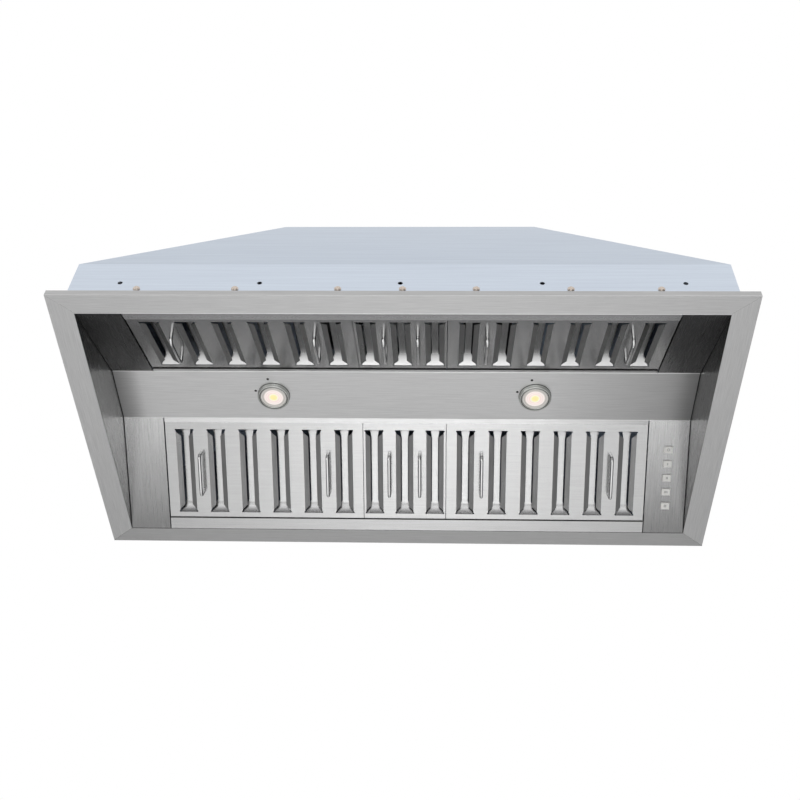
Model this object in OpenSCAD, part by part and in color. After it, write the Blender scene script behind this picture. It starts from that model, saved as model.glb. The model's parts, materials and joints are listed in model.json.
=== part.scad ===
// Range hood insert: a flanged stainless canopy with two sloping rows of
// baffle filters, a light bar, push buttons, a blower and a duct collar.
// X runs to the right, Y to the rear, Z up. The origin is the centre of
// the flange's underside.

/* [Flange] */
// Width of the insert over the flange
flange_w = 873; // [820:1:960]
// Depth of the insert over the flange
flange_d = 451; // [435:1:500]
// Width of the two side strips of the flange
flange_side = 31.8; // [28:0.1:40]
// Width of the front and rear strips of the flange
flange_front = 27; // [25:0.1:34]
// Height of the lip folded up round the flange
lip_h = 9.8; // [6:0.1:16]
// Thickness of the stainless sheet
sheet = 1; // [0.8:0.1:1.3]

/* [Housing] */
// Distance from the flange's edge in to the housing wall
wall_inset = 17; // [13:0.5:18]
// Height of the crease where the housing wall starts to lean in
shoulder_h = 92; // [84:1:104]
// Height of the roof plate's top
roof_h = 239; // [236:1:280]
// Width of the flat roof
roof_w = 350; // [320:1:420]
// Depth of the flat roof
roof_d = 344; // [320:1:380]
// How far the roof's centre lies to the right
roof_shift = 6.5; // [0:0.5:10]

/* [Canopy] */
// Width of the light bar
bar_w = 87.4; // [80:0.2:100]
// Height of the light bar's underside
bar_h = 73.6; // [68:0.2:78]
// Width of the blank panel beside each filter row
filler_w = 57.7; // [52:0.1:66]
// Gap between the filter row and the blank panels
bank_gap = 1.5; // [1:0.1:3]
// Width of the lip that laps over the filters' upper edge
top_lap = 6.5; // [5:0.5:9]
// Width of the lower rail that the filters rest on
ledge = 17.5; // [14:0.5:22]
// Height of the screwed leg of the rails and panels
leg_h = 44; // [40:1:46]

/* [Filters] */
// Width of each middle filter
mid_w = 118.6; // [112:0.2:130]
// Gap between neighbouring filters
filter_gap = 0.8; // [0.6:0.1:2]
// Thickness of the filter sheets
filter_sheet = 0.8; // [0.6:0.1:1]
// Depth of the filter's folded edge
filter_depth = 14; // [13.5:0.5:17]
// How far a filter's lower edge lies behind the lower rail
low_lap = 5.5; // [4:0.5:7]
// Width of one slot
slot_w = 25; // [24:0.5:27]
// Width of the blank edge beside the first slot of a wide filter
wide_margin = 14.85; // [10:0.05:18]
// Width of the blank edge beside the first slot of a middle filter
mid_margin = 3.05; // [2.5:0.05:6]
// Distance from the filter's upper edge to its slots
slot_top = 15.2; // [12:0.2:20]
// Distance from the slots to the visible lower edge
slot_low = 9; // [8:0.2:14]
// Width of the flap folded in along each side of a slot
flap_w = 7.2; // [5:0.1:7.8]
// Angle the flaps are folded in by
flap_angle = 16; // [10:1:45]
// Radius of the relief holes at the slots' corners
relief_r = 1.3; // [1:0.1:1.5]
// Width of the web behind each slot
web_w = 8.5; // [7:0.5:14]
// Depth of the web behind the filter's face
web_depth = 11.5; // [10.5:0.1:11.5]
// Slots in a wide filter
wide_slots = 6; // [4:1:6]
// Slots in a middle filter
mid_slots = 3; // [2:1:3]

/* [Handles] */
// Diameter of the handle wire
wire_d = 4.5; // [4:0.5:6]
// Distance between the middles of a handle's legs
handle_l = 61.4; // [50:0.2:75]
// Height of the handle bar over the filter's face
handle_h = 14.5; // [12:0.5:17]
// Bend radius of the handle wire
handle_r = 6; // [4:0.5:8]
// How far the handles sit below the middle of the slots
handle_drop = 2.7; // [0:0.1:6]

/* [Lamps] */
// Distance of each lamp from the middle
lamp_x = 182.7; // [150:0.5:210]
// Outer diameter of the lamp ring
lamp_d = 44.5; // [44:0.5:52]
// How far the lamp ring stands out of the light bar
lamp_proud = 6; // [2:0.5:7]
// Diameter of the lamp barrel in the light bar
barrel_d = 40; // [39:0.5:42]
// Height of the lamp barrel
barrel_h = 20; // [17:0.5:22]
// Diameter of the lamp lens opening
lens_d = 35; // [30:0.5:35]

/* [Buttons] */
// Distance between buttons
button_pitch = 21.3; // [19:0.1:24]
// Width of a button
button_w = 12; // [10:0.5:13]
// Length of a button
button_l = 10.3; // [8:0.1:12]
// How far a button stands out of the panel
button_out = 1.8; // [1:0.1:3]
// How far a button travels when pressed
button_travel = 2; // [1:0.1:2.5]

/* [Blower] */
// Diameter of the blower wheel
wheel_d = 100; // [90:1:104]
// Width of the blower wheel
wheel_w = 98; // [80:1:110]
// Blades in the wheel
blade_count = 28; // [20:1:34]
// Diameter of the motor
motor_d = 70; // [60:1:72]
// Length of the motor
motor_l = 56; // [45:1:64]
// Diameter of the motor shaft
shaft_d = 8; // [6:0.5:10]

/* [Duct] */
// Outer diameter of the duct collar
collar_d = 150; // [145:1:154]
// Height of the duct collar over the roof
collar_h = 60; // [50:1:80]
// Diameter of the damper rods
rod_d = 4; // [3:0.5:5]

/* [Fixings] */
// Diameter of the mounting holes in the housing wall
mount_hole_d = 6.3; // [5:0.1:8]
// Height of the mounting holes
mount_hole_h = 50; // [49:0.5:56]
// Distance between the mounting holes
mount_pitch = 178; // [160:1:190]
// Diameter of the screw heads
screw_head_d = 9; // [7:0.5:11]
// Height of the screws
screw_h = 37; // [30:0.5:37]

/* [Hidden] */
$fn = 64;

// Gap kept between pieces that move past each other
play = 0.3;
// Radial clearance of a shaft in its bore
fit = 0.05;
// Overrun of a cut past the surface it cuts
over = 1;

// Half sizes of the flange's outer and inner edges
half_w = flange_w / 2;
half_d = flange_d / 2;
inner_x = half_w - flange_side;
inner_y = half_d - flange_front;
// Half sizes of the housing wall's outside
wall_x = half_w - wall_inset;
wall_y = half_d - wall_inset;
// Half width of the light bar, where both filter planes start
bar_y = bar_w / 2;
// Slope of the filter planes and their length down to the flange
slope = atan2(bar_h, inner_y - bar_y);
slope_l = norm([bar_h, inner_y - bar_y]);
// Half width of a filter row and of the gap round it
panel_x = inner_x - filler_w;
bank_x = panel_x - bank_gap;
// Width of a wide filter
wide_w = bank_x - filter_gap - mid_w / 2;
wide_x = bank_x - wide_w / 2;

// Housing shell

// Lines of a wall that stands to the shoulder and then leans in to the roof
function lean(half, top) = [top - half, roof_h - shoulder_h];
function lean_normal(half, top) =
    let (d = lean(half, top)) [-d[1], d[0]] / norm(d);
// Shoulder point of the wall's inner face
function shoulder_in(half, top) =
    let (d = lean(half, top))
    let (n = lean_normal(half, top))
    let (k = -sheet * (1 + n[0]) / d[0])
    [half - sheet, shoulder_h + sheet * n[1] + k * d[1]];
// Roof point of the wall's inner face
function roof_in(half, top) =
    let (d = lean(half, top))
    let (n = lean_normal(half, top))
    let (k = (d[1] - sheet * n[1]) / d[1])
    [half + sheet * n[0] + k * d[0], roof_h];
function wall_out(half, top) = [[half, sheet], [half, shoulder_h], [top, roof_h]];
function wall_in(half, top) =
    [[half - sheet, sheet], shoulder_in(half, top), roof_in(half, top)];
function flip(points) =
    [for (i = [len(points) - 1 : -1 : 0]) [-points[i][0], points[i][1]]];
function back(points) = [for (i = [len(points) - 1 : -1 : 0]) points[i]];

roof_left = roof_w / 2 - roof_shift;
roof_right = roof_w / 2 + roof_shift;
roof_y = roof_d / 2;

// Mounting holes in a long panel on each side of its middle one
mounts_a_side = 2;

// Extrusion of a Y-Z outline along X, and of an X-Z outline along Y
module along_x(length) {
    rotate([90, 0, 90]) linear_extrude(length, center = true) children();
}
module along_y(length) {
    rotate([90, 0, 0]) linear_extrude(length, center = true) children();
}
module wall_band(half, top) {
    polygon(concat(wall_out(half, top), back(wall_in(half, top))));
}
module front_view_outer() {
    polygon(concat(wall_out(wall_x, roof_right), flip(wall_out(wall_x, roof_left))));
}
module front_view_inner() {
    polygon(concat(wall_in(wall_x, roof_right), flip(wall_in(wall_x, roof_left))));
}
module side_view_inner() {
    polygon(concat(wall_in(wall_y, roof_y), flip(wall_in(wall_y, roof_y))));
}
module long_panel() {
    difference() {
        intersection() {
            along_x(flange_w) wall_band(wall_y, roof_y);
            along_y(flange_d) front_view_outer();
        }
        for (i = [-mounts_a_side : mounts_a_side])
            translate([i * mount_pitch, wall_y + over, mount_hole_h])
                rotate([90, 0, 0])
                    cylinder(d = mount_hole_d, h = sheet + 2 * over);
        for (share = screw_place_shares)
            translate([share * bank_x, wall_y + over, screw_h])
                rotate([90, 0, 0]) cylinder(r = screw_r + fit, h = sheet + 2 * over);
    }
}
module front_panel() {
    color("lightsteelblue") mirror([0, 1, 0]) long_panel();
}
module rear_panel() {
    color("lightsteelblue") long_panel();
}
module end_panel(top) {
    intersection() {
        along_y(flange_d) wall_band(wall_x, top);
        along_x(flange_w) side_view_inner();
    }
}
module left_end_panel() {
    color("lightsteelblue") mirror([1, 0, 0]) end_panel(roof_left);
}
module right_end_panel() {
    color("lightsteelblue") end_panel(roof_right);
}
module roof_panel() {
    color("lightsteelblue") difference() {
        intersection() {
            along_y(flange_d) front_view_inner();
            along_x(flange_w) side_view_inner();
            translate([-half_w, -half_d, roof_h - sheet])
                cube([flange_w, flange_d, sheet]);
        }
        translate([0, 0, roof_h - sheet - over])
            cylinder(r = collar_in, h = sheet + 2 * over);
        translate([box_x, box_y, roof_h - sheet - over])
            cylinder(r = gland_r + fit, h = sheet + 2 * over);
    }
}

// Screws that hold the rails to the housing

// Places of the screws along the wall, as shares of half the filter row
screw_place_shares = [-0.962, -0.601, -0.226, 0.009, 0.275, 0.615, 0.938];
screw_r = 2;
screw_l = 6;
screw_head_h = 2.4;
screw_crown_d = 6.3;
module housing_screw() {
    rotate([90, 0, 0]) {
        translate([0, 0, -screw_head_h])
            cylinder(d1 = screw_crown_d, d2 = screw_head_d, h = screw_head_h / 2);
        translate([0, 0, -screw_head_h / 2])
            cylinder(d = screw_head_d, h = screw_head_h / 2);
        cylinder(r = screw_r, h = screw_l);
    }
}
module housing_screws() {
    color("silver") for (side = [0, 1]) mirror([0, side, 0])
        for (share = screw_place_shares)
            translate([share * bank_x, wall_y, screw_h]) housing_screw();
}

// Flange strips, mitred at the corners

// Run of the mitre across the side strip for each unit along the front one
mitre = flange_side / flange_front;
module long_flange() {
    linear_extrude(sheet)
        polygon([[-inner_x, inner_y], [-half_w, half_d],
                 [half_w, half_d], [inner_x, inner_y]]);
    linear_extrude(lip_h)
        polygon([[-half_w + sheet * mitre, half_d - sheet], [-half_w, half_d],
                 [half_w, half_d], [half_w - sheet * mitre, half_d - sheet]]);
}
module short_flange() {
    linear_extrude(sheet)
        polygon([[inner_x, -inner_y], [half_w, -half_d],
                 [half_w, half_d], [inner_x, inner_y]]);
    linear_extrude(lip_h)
        polygon([[half_w - sheet, -half_d + sheet / mitre], [half_w, -half_d],
                 [half_w, half_d], [half_w - sheet, half_d - sheet / mitre]]);
}
module flange_front() {
    color("silver") mirror([0, 1, 0]) long_flange();
}
module flange_rear() {
    color("silver") long_flange();
}
module flange_left() {
    color("silver") mirror([1, 0, 0]) short_flange();
}
module flange_right() {
    color("silver") short_flange();
}

// Canopy inside the flange

// Point of the rear filter plane: u runs down the slope from the light bar
// and w runs inward, square to the plane
function bank_point(u, w) =
    [bar_y + u * cos(slope) + w * sin(slope), bar_h - u * sin(slope) + w * cos(slope)];
// Distance down the slope at which a line w inside the plane is at height z
function slope_at(w, z) = (bar_h + w * cos(slope) - z) / sin(slope);
module on_bank() {
    translate([0, bar_y, bar_h]) rotate([-slope, 0, 0]) children();
}
// Foot on the flange and leg up the housing wall, shared by rails and fillers
function foot_points() = [
    [inner_y, 0], [inner_y, sheet], [wall_y - sheet, sheet],
    [wall_y - sheet, leg_h], [wall_y - 2 * sheet, leg_h],
    [wall_y - 2 * sheet, 2 * sheet],
    bank_point(slope_at(sheet, 2 * sheet), sheet)
];
// Height of the upstand behind the rail that a filter's lower edge rests on
upstand_h = 8;
module rail() {
    difference() {
        union() {
            along_x(2 * bank_x) polygon(concat(
                [bank_point(slope_l - ledge, sheet), bank_point(slope_l - ledge, 0)],
                foot_points()));
            on_bank() translate([-bank_x, slope_l - ledge + low_lap + play, 0])
                cube([2 * bank_x, sheet, sheet + upstand_h]);
        }
        for (share = screw_place_shares)
            translate([share * bank_x, wall_y, screw_h]) rotate([90, 0, 0])
                cylinder(r = screw_r + fit, h = screw_l);
    }
}
module front_rail() {
    color("silver") mirror([0, 1, 0]) rail();
}
module rear_rail() {
    color("silver") rail();
}
// Depth of the fillers' return beside the filters
return_d = filter_depth;
return_start = top_lap;
module filler() {
    translate([panel_x + filler_w / 2, 0, 0]) along_x(filler_w)
        polygon(concat([[bar_y, bar_h + sheet / cos(slope)], [bar_y, bar_h]],
                       foot_points()));
    on_bank() translate([panel_x, return_start, 0])
        cube([sheet, slope_l - ledge - return_start, return_d]);
}
module front_left_filler() {
    color("dimgray") mirror([1, 0, 0]) mirror([0, 1, 0]) filler();
}
module front_right_filler() {
    color("dimgray") mirror([0, 1, 0]) filler();
}
module rear_left_filler() {
    color("gray") mirror([1, 0, 0]) filler();
}
module control_panel() {
    color("gray") difference() {
        filler();
        for (i = [1 : button_count]) at_button(i)
            translate([-button_w / 2 - play, -button_l / 2 - play, -over])
                cube([button_w + 2 * play, button_l + 2 * play, sheet + 2 * over]);
    }
}
// Height of the liner above the light bar
liner_rise = return_d;
module liner() {
    side = wall_y - sheet;
    intersection() {
        along_y(2 * side) polygon([
            [inner_x, sheet], [wall_x - sheet, sheet], [wall_x - sheet, leg_h],
            [wall_x - 2 * sheet, leg_h], [wall_x - 2 * sheet, 2 * sheet],
            [inner_x + sheet, 2 * sheet], [inner_x + sheet, roof_h], [inner_x, roof_h]]);
        along_x(flange_w) polygon([
            [-side, sheet], [side, sheet], [side, leg_h], [bar_y, bar_h + liner_rise],
            [-bar_y, bar_h + liner_rise], [-side, leg_h]]);
    }
}
module left_liner() {
    color("gray") mirror([1, 0, 0]) liner();
}
module right_liner() {
    color("gray") liner();
}
module light_bar() {
    lap = [bank_point(top_lap, sheet), bank_point(top_lap, 0), [bar_y, bar_h]];
    bend = [[bank_point(slope_at(sheet, bar_h + sheet), sheet)[0], bar_h + sheet]];
    half = concat(bend, lap);
    color("darkgray") difference() {
        union() {
            along_x(2 * bank_x) polygon(concat(half, flip(half)));
            translate([-inner_x, -bar_y, bar_h]) cube([2 * inner_x, bar_w, sheet]);
        }
        for (side = [-1, 1])
            translate([side * lamp_x, 0, bar_h - over])
                cylinder(r = barrel_d / 2 + play, h = sheet + 2 * over);
    }
}

// Filters

// Depth of the filters' face behind the filter plane
face_w = sheet + play;
// Upper edge of a filter below the light bar's edge
filter_top = 2;
filter_l = slope_l - ledge + low_lap - filter_top;
slot_l = filter_l - low_lap - slot_top - slot_low;
// How far the flap's root is sunk into the face, and its diagonal ends
flap_sink = filter_sheet / 4;
relief_sides = 16;
flap_root = 0.3;
flap_start = 4.2;
flap_taper = 6.8;
// Length of the web's ramps and how far they start past the slot's end
ramp_l = 16;
ramp_tuck = 2;
ramp_rise = web_depth - filter_sheet;
ramp_angle = atan2(ramp_rise, ramp_l);
// How far a ramp's end is sunk into the web
ramp_sink = filter_sheet / 4;
// Side clearance of the ramps and of the back sheet in the frame
ramp_gap = 0.5;
web_return = filter_depth - web_depth;

// Places of the slots' middles across a filter
function slot_places(width, count, margin) =
    let (first = margin + slot_w / 2 - width / 2)
    let (pitch = -2 * first / (count - 1))
    [for (i = [0 : count - 1]) first + i * pitch];
module on_filter(side, place) {
    mirror([0, side < 0 ? 1 : 0, 0]) on_bank()
        translate([place, filter_top, face_w]) children();
}
module flap() {
    rotate([0, -flap_angle, 0]) linear_extrude(filter_sheet)
        polygon([[-flap_root, flap_start], [flap_w, flap_start + flap_taper],
                 [flap_w, slot_l - flap_start - flap_taper],
                 [-flap_root, slot_l - flap_start]]);
}
// A slot with a round relief hole at each corner
module slot_outline() {
    translate([-slot_w / 2, 0]) square([slot_w, slot_l]);
    for (side = [-1, 1]) for (y = [relief_r, slot_l - relief_r])
        translate([side * slot_w / 2, y]) circle(relief_r, $fn = relief_sides);
}
module filter_face(width, places) {
    difference() {
        translate([-width / 2, 0, 0]) cube([width, filter_l, filter_depth]);
        translate([-width / 2 + filter_sheet, filter_sheet, filter_sheet])
            cube([width - 2 * filter_sheet, filter_l - 2 * filter_sheet,
                  filter_depth]);
        for (x = places) translate([x, slot_top, -over])
            linear_extrude(filter_sheet + 2 * over) slot_outline();
    }
    for (x = places) for (side = [0, 1])
        translate([x, slot_top, 0]) mirror([side, 0, 0])
            translate([-slot_w / 2, 0, flap_sink]) flap();
}
module ramp() {
    ramp_x = slot_w / 2 - ramp_gap;
    web_x = web_w / 2 - ramp_sink;
    length = norm([ramp_l, ramp_rise]) + ramp_sink;
    rotate([ramp_angle, 0, 0]) linear_extrude(filter_sheet)
        polygon([[-ramp_x, 0], [-web_x, length], [web_x, length], [ramp_x, 0]]);
}
module web() {
    ends = ramp_l - ramp_tuck - filter_sheet;
    translate([0, -ramp_tuck, filter_sheet]) ramp();
    translate([0, slot_l, 0]) mirror([0, 1, 0])
        translate([0, -ramp_tuck, filter_sheet]) ramp();
    translate([-web_w / 2, ends, web_depth])
        cube([web_w, slot_l - 2 * ends, filter_sheet]);
    for (side = [-1, 1])
        translate([side * (web_w - filter_sheet) / 2 - filter_sheet / 2, ends, web_depth])
            cube([filter_sheet, slot_l - 2 * ends, web_return]);
}
module filter_back(width, places) {
    bar_x = width / 2 - filter_sheet;
    top_l = slot_top - filter_sheet - ramp_tuck / 2;
    low_l = slot_low + low_lap - filter_sheet - ramp_tuck / 2;
    translate([-bar_x, filter_sheet, filter_sheet])
        cube([2 * bar_x, top_l, filter_sheet]);
    translate([-bar_x, filter_l - filter_sheet - low_l, filter_sheet])
        cube([2 * bar_x, low_l, filter_sheet]);
    for (x = places) translate([x, slot_top, 0]) web();
}
// One bail handle standing on the face, its legs along the slope
module handle() {
    leg = handle_h - handle_r;
    for (end = [0, 1]) mirror([0, end, 0]) {
        translate([0, -handle_l / 2, -leg]) cylinder(d = wire_d, h = leg);
        translate([0, handle_r - handle_l / 2, -leg]) rotate([0, 90, 0])
            rotate_extrude(angle = -90) translate([handle_r, 0]) circle(d = wire_d);
    }
    translate([0, handle_r - handle_l / 2, -handle_h]) rotate([-90, 0, 0])
        cylinder(d = wire_d, h = handle_l - 2 * handle_r);
}
module filter_handles(places) {
    count = len(places);
    for (i = [0, count - 2])
        translate([(places[i] + places[i + 1]) / 2,
                   slot_top + slot_l / 2 + handle_drop, 0]) handle();
}
wide_places = slot_places(wide_w, wide_slots, wide_margin);
mid_places = slot_places(mid_w, mid_slots, mid_margin);

module front_left_filter_face() {
    color("gray") on_filter(-1, -wide_x) filter_face(wide_w, wide_places);
}
module front_left_filter_back() {
    color("gray") on_filter(-1, -wide_x) filter_back(wide_w, wide_places);
}
module front_left_filter_handles() {
    color("silver") on_filter(-1, -wide_x) filter_handles(wide_places);
}
module front_middle_filter_face() {
    color("gray") on_filter(-1, 0) filter_face(mid_w, mid_places);
}
module front_middle_filter_back() {
    color("gray") on_filter(-1, 0) filter_back(mid_w, mid_places);
}
module front_middle_filter_handles() {
    color("silver") on_filter(-1, 0) filter_handles(mid_places);
}
module front_right_filter_face() {
    color("gray") on_filter(-1, wide_x) filter_face(wide_w, wide_places);
}
module front_right_filter_back() {
    color("gray") on_filter(-1, wide_x) filter_back(wide_w, wide_places);
}
module front_right_filter_handles() {
    color("silver") on_filter(-1, wide_x) filter_handles(wide_places);
}
module rear_left_filter_face() {
    color("gainsboro") on_filter(1, -wide_x) filter_face(wide_w, wide_places);
}
module rear_left_filter_back() {
    color("gainsboro") on_filter(1, -wide_x) filter_back(wide_w, wide_places);
}
module rear_left_filter_handles() {
    color("silver") on_filter(1, -wide_x) filter_handles(wide_places);
}
module rear_middle_filter_face() {
    color("gainsboro") on_filter(1, 0) filter_face(mid_w, mid_places);
}
module rear_middle_filter_back() {
    color("gainsboro") on_filter(1, 0) filter_back(mid_w, mid_places);
}
module rear_middle_filter_handles() {
    color("silver") on_filter(1, 0) filter_handles(mid_places);
}
module rear_right_filter_face() {
    color("gainsboro") on_filter(1, wide_x) filter_face(wide_w, wide_places);
}
module rear_right_filter_back() {
    color("gainsboro") on_filter(1, wide_x) filter_back(wide_w, wide_places);
}
module rear_right_filter_handles() {
    color("silver") on_filter(1, wide_x) filter_handles(wide_places);
}

// Lamps

lamp_wall = 1;
lamp_bevel = 0.7;
// Outer face of the lens behind the ring's face
lens_inset = 1.5;
lens_h = 3;
lens_z = lens_inset - lamp_proud;
plug_r = barrel_d / 2 - lamp_wall - fit;
sink_h = 14;
sink_r = barrel_d / 2 + lamp_wall;
fin_count = 12;
fin_gap = 2;
fin_depth = 7;
module lamp_ring() {
    lamp_r = lamp_d / 2;
    barrel_r = barrel_d / 2;
    lens_r = lens_d / 2;
    rotate_extrude() polygon([
        [lens_r, -lamp_proud], [lamp_r - lamp_bevel, -lamp_proud],
        [lamp_r, lamp_bevel - lamp_proud], [lamp_r, 0], [barrel_r, 0],
        [barrel_r, barrel_h], [barrel_r - lamp_wall, barrel_h],
        [barrel_r - lamp_wall, lens_z], [lens_r, lens_z]]);
}
module lamp_lens() {
    translate([0, 0, lens_z]) cylinder(r = plug_r, h = lens_h);
}
module lamp_module() {
    plug_z = lens_z + lens_h;
    translate([0, 0, plug_z]) cylinder(r = plug_r, h = barrel_h - plug_z);
    difference() {
        translate([0, 0, barrel_h]) cylinder(r = sink_r, h = sink_h);
        for (i = [0 : fin_count - 1])
            rotate([0, 0, i * 360 / fin_count])
                translate([sink_r - fin_depth, -fin_gap / 2, barrel_h + lamp_wall])
                    cube([fin_depth + over, fin_gap, sink_h]);
    }
}
module at_lamp(side) {
    translate([side * lamp_x, 0, bar_h]) children();
}
module left_lamp_ring() {
    color("whitesmoke") at_lamp(-1) lamp_ring();
}
module left_lamp_lens() {
    color("lemonchiffon") at_lamp(-1) lamp_lens();
}
module left_lamp_module() {
    color("darkgray") at_lamp(-1) lamp_module();
}
module right_lamp_ring() {
    color("whitesmoke") at_lamp(1) lamp_ring();
}
module right_lamp_lens() {
    color("lemonchiffon") at_lamp(1) lamp_lens();
}
module right_lamp_module() {
    color("darkgray") at_lamp(1) lamp_module();
}

// Push buttons and the housing that guides them

button_count = 5;
shoulder_over = 1;
shoulder_t = 1.2;
stem_d = 5;
stem_l = 9.5;
guide_depth = sheet + play + shoulder_t + button_travel + 2 * play;
guide_block = 11;
housing_wall = 3;
housing_end = 4;
module at_button(i) {
    middle = (button_count + 1) / 2;
    on_bank()
        translate([panel_x + filler_w / 2, slope_l / 2 + (i - middle) * button_pitch, 0])
            children();
}
module button(i) {
    shoulder_w = button_w + 2 * shoulder_over;
    shoulder_l = button_l + 2 * shoulder_over;
    color("whitesmoke") at_button(i) {
        translate([-button_w / 2, -button_l / 2, -button_out])
            cube([button_w, button_l, button_out + face_w]);
        translate([-shoulder_w / 2, -shoulder_l / 2, face_w])
            cube([shoulder_w, shoulder_l, shoulder_t]);
        translate([0, 0, face_w + shoulder_t]) cylinder(d = stem_d, h = stem_l);
    }
}
module button_1() {
    button(1);
}
module button_2() {
    button(2);
}
module button_3() {
    button(3);
}
module button_4() {
    button(4);
}
module button_5() {
    button(5);
}
module switch_housing() {
    cavity_w = button_w + 2 * shoulder_over + 2 * play;
    cavity_l = (button_count - 1) * button_pitch + button_l + 2 * shoulder_over + 2 * play;
    block_w = cavity_w + 2 * housing_wall;
    block_l = cavity_l + 2 * housing_end;
    middle = (button_count + 1) / 2;
    bore_l = stem_l + play;
    color("dimgray") difference() {
        at_button(middle) translate([-block_w / 2, -block_l / 2, sheet])
            cube([block_w, block_l, guide_depth - sheet + guide_block]);
        at_button(middle) translate([-cavity_w / 2, -cavity_l / 2, sheet - over])
            cube([cavity_w, cavity_l, guide_depth - sheet + over]);
        for (i = [1 : button_count]) at_button(i)
            translate([0, 0, guide_depth - over])
                cylinder(r = stem_d / 2 + fit, h = bore_l + over);
    }
}

// Blower hung under the roof: a double-inlet wheel in a scroll

casing_gap = 5;
casing_x = wheel_w / 2 + casing_gap;
// Scroll radii at the cut-off and at the outlet, and the angle between them
scroll_swell = 25;
scroll_min = wheel_d / 2 + casing_gap;
scroll_max = scroll_min + scroll_swell;
scroll_turn = 290;
scroll_step = 10;
crown_angle = 270;
// Radius inside the wheel's blades, which the lip of the inlet reaches into
blade_depth = 8;
blade_in = wheel_d / 2 - blade_depth;
inlet_gap = 1;
inlet_r = blade_in - inlet_gap - sheet;
inlet_lip = casing_gap + sheet;
// Room left between the scroll's crown and the mounting plate
crown_gap = 8;
function scroll_r(a) = scroll_max - (scroll_max - scroll_min) * a / scroll_turn;
// Middle of the wheel, set so that the outlet lies under the duct collar
wheel_y = -(scroll_max + scroll_min * cos(scroll_turn)) / 2;
// Mounting plate that hangs the blower under the roof, round the duct's hole
plate_lap = 8;
roof_under = roof_h - sheet;
plate_under = roof_under - sheet;
wheel_z = plate_under - crown_gap - scroll_r(crown_angle) - sheet;
function scroll_point(a, extra) =
    [wheel_y + (scroll_r(a) + extra) * cos(a), wheel_z - (scroll_r(a) + extra) * sin(a)];
function scroll_run(extra, last) =
    [for (a = [0 : scroll_step : last]) scroll_point(a, extra)];
cut_off = scroll_point(scroll_turn, 0);
outlet_y = wheel_y + scroll_max;
function scroll_outside(top) = concat(
    [[outlet_y + sheet, top]], scroll_run(sheet, scroll_turn - scroll_step),
    [[cut_off[0] - sheet, cut_off[1] + sheet], [cut_off[0] - sheet, top]]);
function scroll_inside(top) =
    concat([[outlet_y, top]], scroll_run(0, scroll_turn), [[cut_off[0], top]]);
module blower_wrap() {
    plate_x = collar_in + plate_lap;
    color("lightgray") {
        along_x(2 * casing_x)
            polygon(concat(scroll_outside(roof_under), back(scroll_inside(roof_under))));
        translate([0, 0, plate_under]) linear_extrude(sheet) difference() {
            square(2 * plate_x, center = true);
            translate([-casing_x, cut_off[0] - sheet / 2])
                square([2 * casing_x, outlet_y - cut_off[0] + sheet]);
        }
    }
}
module cheek() {
    lip_r = inlet_r + sheet;
    difference() {
        union() {
            translate([casing_x + sheet / 2, 0, 0]) along_x(sheet)
                polygon(scroll_outside(plate_under));
            at_wheel() translate([0, 0, casing_x - inlet_lip])
                cylinder(r = lip_r, h = inlet_lip);
        }
        at_wheel() translate([0, 0, casing_x - inlet_lip - over])
            cylinder(r = inlet_r, h = inlet_lip + sheet + 2 * over);
    }
}
// Frame with its Z axis along the wheel's axle, pointing to the right
module at_wheel() {
    translate([0, wheel_y, wheel_z]) rotate([0, 90, 0]) children();
}
module blower_left_cheek() {
    color("lightgray") mirror([1, 0, 0]) cheek();
}
module blower_right_cheek() {
    color("lightgray") cheek();
}
// Motor outside the left inlet, on three arms
motor_gap = 11;
arm_w = 10;
arm_t = 3;
stud_d = 6;
stud_margin = 1;
stud_at = inlet_r + stud_margin + stud_d / 2;
arm_l = stud_at + stud_d;
arm_plate_r = 16;
bearing_l = 8;
cap_h = 6;
cap_inset = 10;
module motor() {
    face = casing_x + sheet + motor_gap;
    color("slategray") mirror([1, 0, 0]) difference() {
        union() {
            at_wheel() translate([0, 0, face]) cylinder(d = motor_d, h = motor_l);
            at_wheel() translate([0, 0, face + motor_l])
                cylinder(r1 = motor_d / 2, r2 = motor_d / 2 - cap_inset, h = cap_h);
            at_wheel() translate([0, 0, face - arm_t])
                cylinder(r = arm_plate_r, h = arm_t);
            for (turn = [30, 150, 270]) at_wheel() rotate([0, 0, turn]) {
                translate([arm_plate_r / 2, -arm_w / 2, face - arm_t])
                    cube([arm_l - arm_plate_r / 2, arm_w, arm_t]);
                translate([stud_at, 0, casing_x + sheet])
                    cylinder(d = stud_d, h = motor_gap - arm_t);
            }
        }
        at_wheel() translate([0, 0, face - arm_t - over])
            cylinder(r = shaft_d / 2 + fit, h = arm_t + over + bearing_l);
    }
}
hub_wall = 4;
hub_l = 24;
module motor_shaft() {
    face = casing_x + sheet + motor_gap;
    reach = face + bearing_l - play;
    color("silver") at_wheel() translate([0, 0, -reach])
        cylinder(d = shaft_d, h = reach + hub_l / 2);
}
// Wheel of forward-curved blades between two end rings and a centre plate
wheel_plate = 2;
blade_t = 1;
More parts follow.
